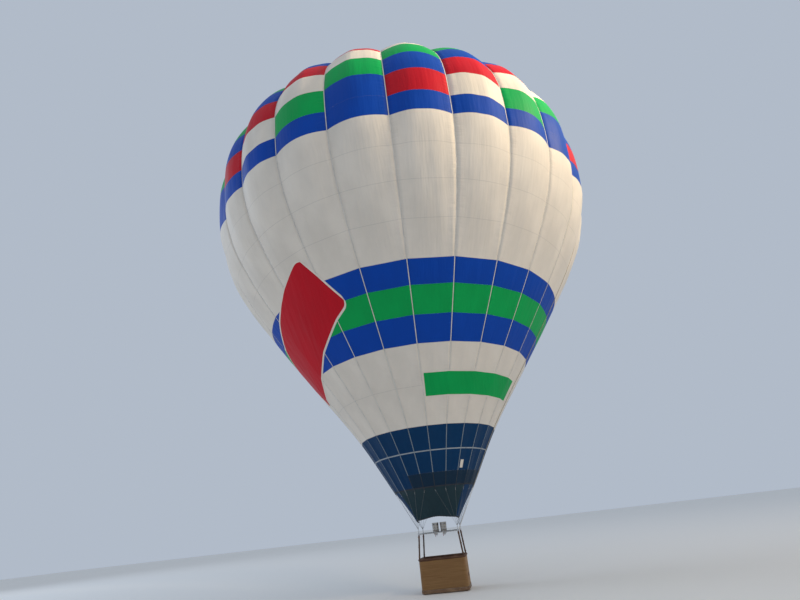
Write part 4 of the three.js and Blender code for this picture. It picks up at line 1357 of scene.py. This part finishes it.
def make_burner_frame():
    x, y, z, cross = FRAME["x"], FRAME["y"], FRAME["z"], FRAME["cross_x"]
    tubes = [[(-x, side * y, z), (x, side * y, z)] for side in SIDES]
    tubes += [[(side * x, -y, z), (side * x, y, z)] for side in SIDES]
    crossing = [[(side * cross, -y, z), (side * cross, y, z)] for side in SIDES]
    weld = circle(FRAME["cross_tube"] + 0.001, 0, 20)[:, [0, 2, 1]]
    weld_y = y - FRAME["tube"] * 0.62
    welds = [weld + (side * cross, end * weld_y, z) for side in SIDES for end in SIDES]
    parts = [
        rods(tubes, FRAME["tube"], STEEL, sides=24),
        rods(crossing, FRAME["cross_tube"], STEEL, sides=20),
        *(block(GIMBAL_SEAT, (side * cross, 0, z), ALUMINIUM, bevel=0.006, segments=3) for side in SIDES),
        rods(welds, 0.0035, STEEL, sides=6, closed=True),
    ]
    bolts, ways = [], []
    for _, sx, sy, _ in CORNERS:
        cx, cy = sx * x, sy * y
        parts.append(block(CORNER_BLOCK, (cx, cy, z), ALUMINIUM, bevel=0.009, segments=3))
        parts.append(eye_plate(cx, cy, z, LUG_HOLE[1] + EYE["bridge"], LUG_HOLE, STEEL))
        for bolt_z in (z - 0.016, z + 0.016):
            bolts.append((cx + sx * CORNER_BLOCK[0] / 2, cy, bolt_z))
            bolts.append((cx, cy + sy * CORNER_BLOCK[1] / 2, bolt_z))
            ways += [(sx, 0, 0), (0, sy, 0)]
    parts.append(studs(bolts, ways, STEEL, 0.0075, 0.0068, 0.006, sides=6))
    piece("burner_frame_tubes", parts, "balloon", ["burner_frame"])


# The crown line: azimuth of its load tape, each strand's radius and distance off the tape's middle, and the
# height at which it leaves the tape
CROWN_LINE = {"azimuth": 82.5, "radius": 0.005, "off": 0.013, "leaves_z": 4.9}
# Its knots on the frame's right hand tube, each off the middle one way and starting before its own middle
KNOT = {"y": -0.49, "off": 0.03, "before": 0.0204, "pitch": 0.0102, "turns": 4, "steps": 12}


def crown_line():
    """Two strands from the crown ring over a load tape to the burner frame, pulled taut."""
    radius, off = CROWN_LINE["radius"], CROWN_LINE["off"]
    k = round(math.radians(CROWN_LINE["azimuth"]) / GORE_TURN + 0.5)
    azimuth = tape_azimuth(k)
    leaves = np.linspace(s_of(CROWN_LINE["leaves_z"]), VENT_S, 130)
    lengths = np.concatenate([leaves, np.linspace(VENT_S, CROWN_S, 16)[1:]])
    wrap = FRAME["tube"] + radius
    turns = np.arange(KNOT["turns"] * KNOT["steps"] + 1) / KNOT["steps"]
    angle = turns * 2 * math.pi
    strands = []
    for side in SIDES:
        on_tape = beside_tape(k, np.full(len(lengths), side * off), lengths, TAPE_HALF + radius + 0.001)
        knot_y = KNOT["y"] + side * KNOT["off"] - KNOT["before"] + turns * KNOT["pitch"]
        knot = np.column_stack([FRAME["x"] + wrap * np.cos(angle), knot_y, FRAME["z"] - wrap * np.sin(angle)])
        ring = at(azimuth, CROWN_RING_R + CROWN_RING_BAR + radius, CROWN_RING_Z)
        ring = ring + (side * off * math.cos(azimuth), side * off * math.sin(azimuth), 0)
        strands.append(np.concatenate([knot[::-1], on_tape, [ring]]))
    piece("crown_line", [rods(strands, radius, ROPE, sides=8)], "balloon")


for corner_name, corner_x, corner_y, corner_tape in CORNERS:
    cable_set(corner_name, corner_x, corner_y, corner_tape)
    karabiner(corner_name, corner_x, corner_y)
make_burner_frame()
crown_line()


# The gimbal and the burners

GIMBAL = {"x": 0.36, "y": 0.24, "bar": 0.028, "pin": 0.008, "pin_x": 0.45, "pin_y": 0.25}
BEARING = (0.05, 0.034, 0.034)
BURNER = {
    "x": 0.16,
    "foot": 2.0383,
    "base_r": 0.118,
    "top_r": 0.14,
    "height": 0.34,
    "wall": 0.004,
    "floor": 0.014,
}
YOKE_HALF_Y = 0.214
YOKE_BOLTS = (0.128, 0.042)                     # from a burner's middle
VALVE_SIDE, VALVE_LOW, VALVE_TOP = 0.11, 1.932, 2.022
VALVE_Z = (VALVE_LOW + VALVE_TOP) / 2
RIBS = (0.085, 0.17, 0.255)
COIL_TURNS, COIL_STEPS = 6.5, 24
COIL_PIPE, COIL_LOW, COIL_RISE = 0.0085, 0.06, 0.215
COIL_FOOT_R, COIL_WIDENS = 0.088, 0.012
JET_RING = {"r": 0.05, "z": 0.04, "pipe": 0.009, "jets": 16}
YOKE_PLATE = (0.62, 0.12, 0.016)
YOKE_BAR = 0.04
# Valve levers and their grips. Columns: way across from the burner's middle, then distance in front of the
# valve block and rise at both ends, radius, look, sides
LEVERS = [
    (-0.03, (0.018, 0), (0.03, -0.09), 0.005, STEEL, 10),
    (0.03, (0.018, 0), (0.03, -0.06), 0.005, STEEL, 10),
    (-0.03, (0.026, -0.05), (0.031, -0.1), 0.0095, RED_HANDLE, 14),
    (0.03, (0.024, -0.035), (0.031, -0.07), 0.0085, BLACK_STEEL, 14),
]
GAUGE_CASE = [(0, 0), (0.024, 0), (0.026, 0.003), (0.026, 0.014), (0.022, 0.016), (0.021, 0.013), (0, 0.013)]
GAUGE_DIAL = [(0, 0), (0.0205, 0), (0.0205, 0.0015), (0, 0.0015)]
GAUGE_WAY = (0, -1, 0.15)


def make_gimbal():
    x, y, side, z = GIMBAL["x"], GIMBAL["y"], GIMBAL["bar"], FRAME["z"]
    parts = []
    for sign in SIDES:
        parts.append(block((2 * x + side, side, side), (0, sign * y, z), ALUMINIUM))
        parts.append(block((side, 2 * y - side, side), (sign * x, 0, z), ALUMINIUM))
        parts.append(block(BEARING, (sign * x, 0, z), BLACK_STEEL, bevel=0.005))
        parts.append(block(BEARING, (0, sign * y, z), BLACK_STEEL, bevel=0.005))
    pins = [[(sign * x, 0, z), (sign * GIMBAL["pin_x"], 0, z)] for sign in SIDES]
    parts.append(rods(pins, GIMBAL["pin"], STEEL, sides=16))
    piece("gimbal_bars", parts, "gimbal", ["gimbal_frame"])


def make_yoke():
    z, (bolt_x, bolt_y) = FRAME["z"], YOKE_BOLTS
    bolts = [
        (side * BURNER["x"] + dx, dy, z + 0.0095)
        for side in SIDES for dx in (-bolt_x, bolt_x) for dy in (-bolt_y, bolt_y)
    ]
    parts = [
        block(YOKE_PLATE, (0, 0, z), ALUMINIUM, bevel=0.003),
        block((YOKE_BAR, 2 * YOKE_HALF_Y, YOKE_BAR), (0, 0, z), ALUMINIUM, bevel=0.005),
        rods([[(0, -GIMBAL["pin_y"], z), (0, GIMBAL["pin_y"], z)]], GIMBAL["pin"], STEEL, sides=16),
        studs(bolts, [UP] * len(bolts), STEEL, 0.007, 0.0065, 0.005, sides=6),
    ]
    piece("burner_yoke_plate", parts, "burners", ["burner_yoke"])


def can_r(height):
    """Radius of the outside of a burner's can."""
    base_r, wall = BURNER["base_r"], BURNER["wall"]
    return base_r + (BURNER["top_r"] - wall - base_r) * height / BURNER["height"]


def burner_can(x, foot):
    base_r, top_r, wall, height = (BURNER[key] for key in ("base_r", "top_r", "wall", "height"))
    outline = [(0, 0), (base_r - 0.008, 0), (base_r, 0.005)]
    for rib in RIBS:
        outline += [(can_r(rib - 0.006), rib - 0.006), (can_r(rib) + 0.0025, rib - 0.002)]
        outline += [(can_r(rib) + 0.0025, rib + 0.002), (can_r(rib + 0.006), rib + 0.006)]
    outline += [(can_r(height), height - 0.009), (top_r, height - 0.006), (top_r + 0.0005, height - 0.002)]
    outline += [(top_r - 0.002, height), (top_r - 0.006, height - 0.001)]
    outline += [(can_r(height) - wall, height - 0.01), (can_r(0.02) - wall, BURNER["floor"])]
    outline.append((0, BURNER["floor"]))
    return turned(outline, (x, 0, foot), BURNER_CAN, segments=48)


def burner_coil(x, foot):
    """The coil that the fuel runs through in the flame, with its two ends led down to the foot."""
    share = np.linspace(0, 1, int(COIL_TURNS * COIL_STEPS) + 1)
    angle = share * COIL_TURNS * 2 * math.pi
    radius = COIL_FOOT_R + COIL_WIDENS * share
    height = COIL_LOW + COIL_RISE * share
    coil = np.column_stack([radius * np.cos(angle), radius * np.sin(angle), height])
    fall = [coil[-1], coil[-1] + (0.004, 0.004, 0.012)]
    fall += [(0.055, 0.03, 0.27), (0.045, 0.02, 0.2), (0.04, 0, 0.02)]
    rise = [coil[0], (0.086, -0.03, 0.045), (0.08, -0.04, 0.016)]
    ends = [evenly(fall, 20) + (x, 0, foot), np.add(rise, (x, 0, foot))]
    return [rods([coil + (x, 0, foot)], COIL_PIPE, COIL, sides=10), rods(ends, 0.008, COIL, sides=10)]


def burner_controls(x, side):
    """Valve levers, a gauge and hose unions round a valve block."""
    face, gauge_x = VALVE_SIDE / 2, x + side * (VALVE_SIDE / 2 + 0.02)
    stems = [[(x + dx, -face, VALVE_Z), (x + dx, -face - 0.024, VALVE_Z)] for dx in (-0.03, 0.03)]
    parts = [rods(stems, 0.011, BRASS, sides=16)]
    for dx, *ends, radius, look, sides in LEVERS:
        lever = [(x + dx, -face - ahead, VALVE_Z + rise) for ahead, rise in ends]
        parts.append(rods([lever], radius, look, sides))
    parts.append(rods([[(x + side * face, 0, VALVE_Z), (gauge_x, 0, VALVE_Z)]], 0.009, BRASS))
    parts.append(turned(GAUGE_CASE, (gauge_x, 0, VALVE_Z + 0.004), STEEL, way=GAUGE_WAY))
    parts.append(turned(GAUGE_DIAL, (gauge_x, -0.0131, VALVE_Z + 0.0055), DIAL, way=GAUGE_WAY))
    hoses = [[(x + dx, face, VALVE_Z - 0.01), (x + dx, face + 0.03, VALVE_Z - 0.022)] for dx in (-0.03, 0.03)]
    parts.append(rods(hoses, 0.0105, BRASS, sides=6))
    return parts


def jet_ring(x, foot):
    """A ring of pipe with jets on it, in the foot of a can."""
    r, z, count = JET_RING["r"], foot + JET_RING["z"], JET_RING["jets"]
    jets = circle(r, z + 0.012, count, (x, 0))
    return [
        rods([circle(r, z, 2 * count, (x, 0))], JET_RING["pipe"], BRASS, sides=10, closed=True),
        studs(jets, [UP] * count, BRASS, 0.0045, 0.002, 0.012),
    ]


def burner(name, side):
    x, foot = side * BURNER["x"], BURNER["foot"]
    pilot = [(x, -0.02, foot + 0.012), (x, -0.02, foot + 0.075)]
    riser = [(x, 0, VALVE_TOP - 0.01), (x, 0, foot + 0.007)]
    valve = (VALVE_SIDE, VALVE_SIDE, VALVE_TOP - VALVE_LOW)
    parts = [
        burner_can(x, foot),
        *burner_coil(x, foot),
        *jet_ring(x, foot),
        rods([pilot], 0.007, STEEL),
        rods([riser], 0.03, STEEL, sides=24),
        block(valve, (x, 0, VALVE_Z), ALUMINIUM, bevel=0.006, segments=3),
        *burner_controls(x, side),
    ]
    piece(f"burner_can_{name}", parts, "burners", [f"burner_{name}"])


make_gimbal()
make_yoke()
burner("left", -1)
burner("right", 1)


# The basket

BASKET = {"x": 0.9, "y": 0.65, "corner": 0.11, "wall": 0.04}
WALL_HALF = BASKET["wall"] / 2
FLOOR_LOW, FLOOR_TOP = 0.0403, 0.0583
WALL_LOW, WALL_TOP = 0.0586, 1.0997
RIM_Z, RIM_R = 1.14, 0.04
STAKE_COUNT = 130           # an even number, so that the weave closes on itself
STAKE_R = 0.006
CANE_R = 0.0066
ROW_PITCH = 0.0106
UNEVEN = 0.0025             # how far a row of cane strays up and down
FOOT_HOLE = {"half": 0.085, "z": 0.48, "rise": 0.06, "corner": 0.03, "lip": 0.012}
CORNER_STEPS = 10
MIDDLE_POINTS = 1200        # points at which the walls' middle is measured
RIM_POINTS = 240
LACE = {"turns": 66, "steps": 12, "radius": 0.0028, "lift": 0.0015}
TRIM_LOW, TRIM_HIGH, TRIM_THICK = 0.03, 0.15, 0.008
SKID = {"height": 0.04, "width": 0.07, "length": 1.64, "pitch": 0.43, "cross_x": 0.574, "cross_width": 0.06}


def weave_nodes(tree, given):
    """Rows of cane woven in and out of the stakes along the source's edge, open at a foot hole."""
    offset = tree.vector(0.0, 0.0, given["Row Pitch"])
    rows = tree.add("GeometryNodeMeshLine", {"Count": given["Rows"], "Offset": offset})
    rows = stored(tree, rows, "row", tree.add("GeometryNodeInputIndex"))
    laid = tree.add("GeometryNodeInstanceOnPoints", {"Points": rows, "Instance": given["Geometry"]})
    laid = tree.add("GeometryNodeRealizeInstances", {"Geometry": laid})
    position = tree.add("GeometryNodeInputPosition")
    place = tree.parts(position)
    beside = tree.math("LESS_THAN", tree.size(place[1]), given["Hole Half"])
    off_middle = tree.size(tree.minus(place[2], given["Hole Z"]))
    in_hole = tree.times(beside, tree.math("LESS_THAN", off_middle, given["Hole Rise"]))
    laid = tree.add("GeometryNodeDeleteGeometry", {"Geometry": laid, "Selection": in_hole}, domain="POINT")
    turn = tree.plus(tree.math("DIVIDE", named(tree, "run"), given["Stake Pitch"]), named(tree, "row"))
    wave = tree.times(tree.math("COSINE", tree.times(turn, math.pi)), given["Swing"])
    way = named(tree, "out", "FLOAT_VECTOR")
    out = tree.add("ShaderNodeVectorMath", {0: way, "Scale": wave}, operation="SCALE")
    uneven = tree.times(tree.minus(tree.noise(position, 7.0, detail=2.0), 0.5), given["Uneven"])
    shift = tree.add("ShaderNodeVectorMath", {0: out, 1: tree.vector(0.0, 0.0, uneven)})
    laid = tree.add("GeometryNodeSetPosition", {"Geometry": laid, "Offset": shift})
    curve = tree.add("GeometryNodeMeshToCurve", {"Mesh": laid})
    curve = stored(tree, curve, "along", named(tree, "run"))
    ring = tree.add("GeometryNodeCurvePrimitiveCircle", {"Resolution": 5, "Radius": given["Cane"]})
    return smoothed(tree, tree.add("GeometryNodeCurveToMesh", {"Curve": curve, "Profile Curve": ring}))


WEAVE_TREE = geometry_tree(
    "wicker_weave",
    weave_nodes,
    {
        "Rows": 90,
        "Row Pitch": 0.01,
        "Stake Pitch": 0.045,
        "Swing": 0.011,
        "Cane": 0.005,
        "Uneven": 0.002,
        "Hole Half": 0.0,
        "Hole Z": 0.48,
        "Hole Rise": 0.07,
    },
)


def basket_loop(grow, z, steps=CORNER_STEPS):
    """Points round the basket, grown outwards from its plan."""
    return lifted(plan_loop(BASKET["x"] + grow, BASKET["y"] + grow, BASKET["corner"] + grow, steps), z)


# The middle of the walls, seen from above, and the ways out of it
MIDDLE = evenly(basket_loop(-WALL_HALF, 0, steps=24)[:, :2], MIDDLE_POINTS, closed=True)
MIDDLE_OUT = outward(MIDDLE)
WALL_LENGTH = float(np.linalg.norm(MIDDLE - np.roll(MIDDLE, -1, 0), axis=1).sum())
CORNER_RUN = (BASKET["corner"] - WALL_HALF) * math.pi / 2
SIDE_RUN = 2 * (BASKET["y"] - BASKET["corner"])
FRONT_RUN = 2 * (BASKET["x"] - BASKET["corner"]) + 2 * CORNER_RUN
STAKE_PITCH = WALL_LENGTH / STAKE_COUNT
# Columns: name, start and length along the walls' middle, side with a foot hole
WALLS = [
    ("front", 0.0, FRONT_RUN, 0),
    ("right", FRONT_RUN, SIDE_RUN, 1),
    ("back", FRONT_RUN + SIDE_RUN, FRONT_RUN, 0),
    ("left", 2 * FRONT_RUN + SIDE_RUN, SIDE_RUN, -1),
]


def on_wall(run):
    """Points and outward ways of the walls' middle at lengths along it."""
    place = np.asarray(run, float) % WALL_LENGTH / WALL_LENGTH * MIDDLE_POINTS
    low = np.floor(place).astype(int) % MIDDLE_POINTS
    high = (low + 1) % MIDDLE_POINTS
    part = (place % 1)[:, None]
    return [values[low] * (1 - part) + values[high] * part for values in (MIDDLE, MIDDLE_OUT)]


def woven_cane(start, length, side):
    margin = CANE_R * 0.6
    count = round(length / (STAKE_PITCH / 3)) + 1
    run = np.linspace(start + margin, start + length - margin, count)
    plan, out = on_wall(run)
    attributes = {"run": run, "out": lifted(out, 0.0)}
    source = paths_object("weave", [lifted(plan, WALL_LOW + CANE_R)], attributes=attributes)
    values = {
        "Rows": int((WALL_TOP - WALL_LOW - 2 * CANE_R) / ROW_PITCH) + 1,
        "Row Pitch": ROW_PITCH,
        "Stake Pitch": STAKE_PITCH,
        "Swing": STAKE_R + CANE_R - 0.001,
        "Cane": CANE_R,
        "Uneven": UNEVEN,
        "Hole Half": FOOT_HOLE["half"] + FOOT_HOLE["lip"] / 2 if side else 0.0,
        "Hole Z": FOOT_HOLE["z"],
        "Hole Rise": FOOT_HOLE["rise"] + FOOT_HOLE["lip"] / 2,
    }
    return grown(source, WEAVE_TREE, WILLOW, values)


def wall_stakes(start, length, side):
    """Upright stakes of a wall, cut short above and below a foot hole."""
    hole_low, hole_high = FOOT_HOLE["z"] - FOOT_HOLE["rise"], FOOT_HOLE["z"] + FOOT_HOLE["rise"]
    first, last = math.ceil(start / STAKE_PITCH), math.floor((start + length) / STAKE_PITCH)
    plan, _ = on_wall(np.arange(first, last + 1) * STAKE_PITCH)
    stakes = []
    for x, y in plan:
        at_hole = side and abs(y) < FOOT_HOLE["half"] + STAKE_R
        ends = [(WALL_LOW, hole_low), (hole_high, WALL_TOP)] if at_hole else [(WALL_LOW, WALL_TOP)]
        stakes += [[(x, y, low), (x, y, high)] for low, high in ends]
    return rods(stakes, STAKE_R, STAKE, sides=6)


def foot_hole(side):
    """The leather that edges a foot hole, three rolls deep, with a line of sewing on either face."""
    half, rise, corner, lip = (FOOT_HOLE[key] for key in ("half", "rise", "corner", "lip"))
    x, middle = side * (BASKET["x"] - WALL_HALF), (0, FOOT_HOLE["z"])
    edge = plan_loop(half, rise, corner, 6) + middle
    seam = plan_loop(half + lip, rise + lip, corner + lip, 6) + middle
    rolls = [upright_loop(edge, x + dx) for dx in (-lip, 0, lip)]
    parts = [rods(rolls, lip, LEATHER, sides=10, closed=True)]
    for face in SIDES:
        parts.append(threads(upright_loop(seam, x + face * lip * 1.75), spacing=0.011, closed=True))
    return parts


def basket_wall(name, start, length, side):
    parts = [woven_cane(start, length, side), wall_stakes(start, length, side)]
    parts += foot_hole(side) if side else []
    piece(f"wicker_{name}", parts, "balloon", [f"basket_wall_{name}"])


def make_rim():
    middle = evenly(basket_loop(-WALL_HALF, RIM_Z), RIM_POINTS, closed=True)
    roll = rods([middle], RIM_R, LEATHER, sides=20, closed=True)
    seam = rods([middle - (0, 0, RIM_R)], 0.003, LEATHER, sides=6, closed=True)
    made = piece("rim_roll", [roll, seam], "balloon", ["basket_rim"])


def make_lacing():
    """A lace wound round the rim."""
    count = LACE["turns"] * LACE["steps"]
    path = evenly(basket_loop(-WALL_HALF, RIM_Z), count, closed=True)
    turn = np.arange(count)[:, None] * LACE["turns"] * 2 * math.pi / count
    around = lifted(outward(path), 0) * np.cos(turn) + np.array(UP) * np.sin(turn)
    lace = path + around * (RIM_R + LACE["lift"])
    piece("rim_lacing", [rods([lace], LACE["radius"], SUEDE, sides=5, closed=True)], "balloon")


def make_trim():
    """A band of hide round the foot of the walls, with three lines of sewing and a row of studs."""
    low, high, thick = TRIM_LOW, TRIM_HIGH, TRIM_THICK
    # Columns: distance out from the basket's plan, height
    section = [
        (0.0004, low),
        (thick * 0.6, low),
        (thick, low + 0.004),
        (thick * 0.8, low + 0.03),
        (thick * 0.8, high - 0.03),
        (thick, high - 0.006),
        (thick * 0.6, high),
        (0.0004, high),
    ]
    parts = [swept([basket_loop(grow, z) for grow, z in section], SUEDE)]
    for z in (low + 0.012, high - 0.012, high - 0.018):
        line = evenly(basket_loop(thick + 0.0002, z), 400, closed=True)
        parts.append(threads(line, spacing=0.014, length=0.009, closed=True))
    line = evenly(basket_loop(thick * 0.8, (low + high) / 2), 60, closed=True)
    parts.append(studs(line, lifted(outward(line), 0), BRASS, 0.007, 0.003, 0.005, sides=10))
    piece("hide_trim", parts, "balloon", ["basket_trim"])


def make_skids():
    height, cross = SKID["height"], (SKID["cross_width"], 2 * SKID["pitch"], SKID["height"] / 2)
    runner = (SKID["length"], SKID["width"], height)
    parts = []
    for row in (-1, 0, 1):
        parts.append(block(runner, (0, row * SKID["pitch"], height / 2), HARDWOOD, bevel=0.006))
    for side in SIDES:
        parts.append(block(cross, (side * SKID["cross_x"], 0, height * 0.75), HARDWOOD, bevel=0.003))
    piece("hardwood_runners", parts, "balloon", ["basket_skids"])


def make_floor():
    rings = [basket_loop(0, z, steps=8) for z in (FLOOR_LOW, FLOOR_TOP)]
    around = np.arange(len(rings[0]))
    caps = [around[::-1], around + len(around)]
    mesh = bmesh_of(np.concatenate(rings), [*caps, *tube_faces(2, len(around))])
    edges = [edge for edge in mesh.edges if abs(edge.verts[0].co.z - edge.verts[1].co.z) < 1e-6]
    bmesh.ops.bevel(mesh, geom=edges, offset=0.002, segments=2, profile=0.5, affect="EDGES")
    piece("plywood_floor", [from_bmesh(mesh, PLYWOOD)], "balloon", ["basket_floor"])


for row in WALLS:
    basket_wall(*row)
make_rim()
make_lacing()
make_trim()
make_skids()
make_floor()


# Fuel cylinders and uprights

CYLINDER = {"r": 0.16, "height": 0.8, "x": 0.685, "y": 0.436, "neck": 0.038, "dome": 0.07}
DOME_ANGLES = np.radians([15, 30, 45, 58])
QUILTS = 10                 # seams up a jacket
BAND_HEIGHTS = (0.22, 0.58)
JACKET_BUCKLE = (0.006, 0.055, 0.046)
UPRIGHT = {"r": 0.032, "foot_x": 0.852, "foot_y": 0.602, "low": 1.1803, "high": 1.9997}
SLEEVE_ROWS = 15
STRAP_BUCKLE = (0.004, 0.05, 0.022)
SEWING_OFF = 0.007          # from a sleeve's seam to the sewing on either side
# A band round a jacket and a strap round a sleeve, both open inside. Columns: distance off it, height
JACKET_BAND = np.array([(0.0005, -0.019), (0.0035, -0.018), (0.0035, 0.018), (0.0005, 0.019)])
SLEEVE_STRAP = np.array([(0, -0.016), (0.003, -0.015), (0.003, 0.015), (0, 0.016)])


def cylinder_jacket(x, y):
    r, low, shoulder = CYLINDER["r"], WALL_LOW, CYLINDER["height"] - CYLINDER["dome"]
    outline = [(0, 0), (r - 0.03, 0), (r - 0.012, 0.008), (r - 0.002, 0.035), (r, 0.06)]
    outline += [(r, 0.2), (r - 0.001, 0.4), (r, 0.6), (r, shoulder - 0.02)]
    outline += [(r * math.cos(a), shoulder + CYLINDER["dome"] * math.sin(a) - 0.004) for a in DOME_ANGLES]
    top = CYLINDER["height"] - 0.012
    outline += [(0.078, top), (0.07, top - 0.008), (0, top - 0.008)]
    foot, head = (circle(r + 0.0006, low + z, QUILTS, (x, y)) for z in (0.05, shoulder))
    seams = rods(list(zip(foot, head)), 0.0022, JACKET, sides=5)
    return [turned(outline, (x, y, low), JACKET, segments=40), seams]


def cylinder_metal(x, y, ahead):
    """The collar, guard ring, valve and tap on a cylinder's head, with its outlet on the way ahead."""
    neck = CYLINDER["neck"]
    place = (x, y, WALL_LOW + CYLINDER["height"])
    outlet = np.add(place, (0, 0, 0.01))
    collar = [(0, -0.03), (0.072, -0.03), (0.066, -0.006), (0.05, -0.001), (0, -0.001)]
    guard = [(0.1, -0.022), (0.104, -0.022), (0.104, 0.045), (0.1, 0.045), (0.1, -0.022)]
    valve = [(0, -0.005), (neck * 0.6, -0.005), (neck * 0.6, 0.02)]
    valve += [(neck * 0.42, 0.024), (neck * 0.42, 0.044), (0, 0.044)]
    tap = [(0, 0), (0.03, 0), (0.034, 0.004), (0.034, 0.012), (0.03, 0.016), (0, 0.016)]
    return [
        turned(collar, place, ALUMINIUM),
        turned(guard, place, ALUMINIUM, segments=40),
        turned(valve, place, BRASS, segments=24),
        turned(tap, np.add(place, (0, 0, 0.043)), RED_HANDLE, segments=12),
        rods([[outlet, outlet + 0.06 * ahead]], 0.01, BRASS),
    ]


def fuel_cylinder(name, sx, sy):
    x, y, r = sx * CYLINDER["x"], sy * CYLINDER["y"], CYLINDER["r"]
    inward = math.atan2(-sy, -sx)
    ahead = np.array([math.cos(inward), math.sin(inward), 0])
    jacket = cylinder_jacket(x, y)
    made = piece(f"cylinder_jacket_{name}", jacket, "balloon", [f"fuel_cylinder_{name}"])
    parts = []
    for z in BAND_HEIGHTS:
        parts.append(turned(JACKET_BAND + (r, z), (x, y, WALL_LOW), BLACK_WEB, segments=40))
        place = (x, y, WALL_LOW + z) + ahead * (r + JACKET_BUCKLE[0])
        parts.append(block(JACKET_BUCKLE, place, STEEL, bevel=0.002, turn=(0, 0, inward)))
    parts += cylinder_metal(x, y, ahead)
    piece(f"cylinder_fittings_{name}", parts, "balloon")


def sleeve_outline(length, phase):
    """The soft, slightly wavy outline of a padded sleeve."""
    r = UPRIGHT["r"]
    outline = [(0, 0), (r - 0.006, 0), (r - 0.001, 0.006)]
    for z in np.linspace(0.03, length - 0.03, SLEEVE_ROWS):
        outline.append((r - 0.0015 + 0.0015 * math.sin(z * 37 + phase), z))
    return outline + [(r - 0.001, length - 0.006), (r - 0.006, length), (0, length)]


def buckle(centre, way, inward, sideways):
    """A leather keeper with a brass frame and prong on the outside of a strap."""
    out = -inward
    facing = (0, 0, math.atan2(inward[1], inward[0]))
    frame_loop = [centre + out * 0.003 + sideways * u + way * v for u, v in plan_loop(0.014, 0.017, 0.005, 3)]
    prong = [centre + out * 0.004 - sideways * 0.014, centre + out * 0.005 + sideways * 0.016]
    return [
        block(STRAP_BUCKLE, centre, LEATHER, bevel=0.0015, turn=facing),
        rods([frame_loop], 0.0022, BRASS, sides=8, closed=True),
        rods([prong], 0.0015, BRASS, sides=8),
    ]


def sleeve_straps(foot, way, length, inward):
    """A sleeve's seam with its sewing on the inner side, and three straps with buckles on the outer side."""
    r, sideways = UPRIGHT["r"], np.cross(way, inward)
    seam = [foot + way * z + inward * (r + 0.0008) for z in (0.05, length - 0.05)]
    parts = [rods([seam], 0.003, BLACK_WEB, sides=6)]
    for side in SIDES:
        parts.append(threads([point + sideways * side * SEWING_OFF - inward * 0.0008 for point in seam]))
    for z in (0.075, length / 2, length - 0.075):
        middle = foot + way * z
        parts.append(turned(SLEEVE_STRAP + (r, 0), middle, LEATHER, segments=24, way=way))
        parts += buckle(middle - inward * (r + 0.005), way, inward, sideways)
    return parts


def upright(name, sx, sy):
    foot = np.array([sx * UPRIGHT["foot_x"], sy * UPRIGHT["foot_y"], UPRIGHT["low"]])
    head = np.array([sx * FRAME["x"], sy * FRAME["y"], UPRIGHT["high"]])
    length = float(np.linalg.norm(head - foot))
    way = (head - foot) / length
    inward = np.array([-sx, -sy, 0]) / math.sqrt(2)
    padding = turned(sleeve_outline(length, sx + 2 * sy), foot, PAD, segments=24, way=way)
    made = piece(f"sleeve_{name}", [padding], "balloon", [f"upright_{name}"])
    piece(f"sleeve_straps_{name}", sleeve_straps(foot, way, length, inward), "balloon")


for corner_name, corner_x, corner_y, _ in CORNERS:
    fuel_cylinder(corner_name, corner_x, corner_y)
    upright(corner_name, corner_x, corner_y)


# The floor and the light

FLOOR_HALF = 300
FLOOR_COLOUR, FLOOR_ROUGHNESS = (0.86, 0.84, 0.80), 0.9
WORLD_COLOUR, WORLD_STRENGTH = (0.62, 0.70, 0.82), 0.71
# Columns: name, place, aim, size in metres, power in watts, colour, spread in degrees
LIGHTS = [
    ("sun", (50, -12, 35), (0, -2, 23), 6, 2100, (1.0, 0.80, 0.52), 32),
    ("key", (46, -30, 40), (0, 0, 14), 12, 7000, (1.0, 0.80, 0.56), 180),
    ("fill", (-80, 10, 46), (0, 0, 14), 44, 15000, (0.70, 0.82, 1.0), 180),
]


def make_stage():
    look = bpy.data.materials.new("floor")
    look.use_nodes = True
    shader = look.node_tree.nodes["Principled BSDF"]
    shader.inputs["Base Color"].default_value = opaque(FLOOR_COLOUR)
    shader.inputs["Roughness"].default_value = FLOOR_ROUGHNESS
    corners = np.array([(-1, -1, 0), (1, -1, 0), (1, 1, 0), (-1, 1, 0)]) * FLOOR_HALF
    mesh_object("floor", corners, [(0, 1, 2, 3)], [look])
    world = bpy.data.worlds.new("studio")
    world.use_nodes = True
    background = world.node_tree.nodes["Background"]
    background.inputs["Color"].default_value = opaque(WORLD_COLOUR)
    background.inputs["Strength"].default_value = WORLD_STRENGTH
    bpy.context.scene.world = world
    bpy.context.scene.view_settings.view_transform = "Standard"


def make_lights():
    for name, place, aim, size, power, colour, spread in LIGHTS:
        data = bpy.data.lights.new(name, "AREA")
        data.size = size
        data.energy = power
        data.color = colour
        data.spread = math.radians(spread)
        light = linked(name, data)
        light.location = place
        light.rotation_euler = (Vector(aim) - Vector(place)).to_track_quat("-Z", "Y").to_euler()


make_stage()
make_lights()
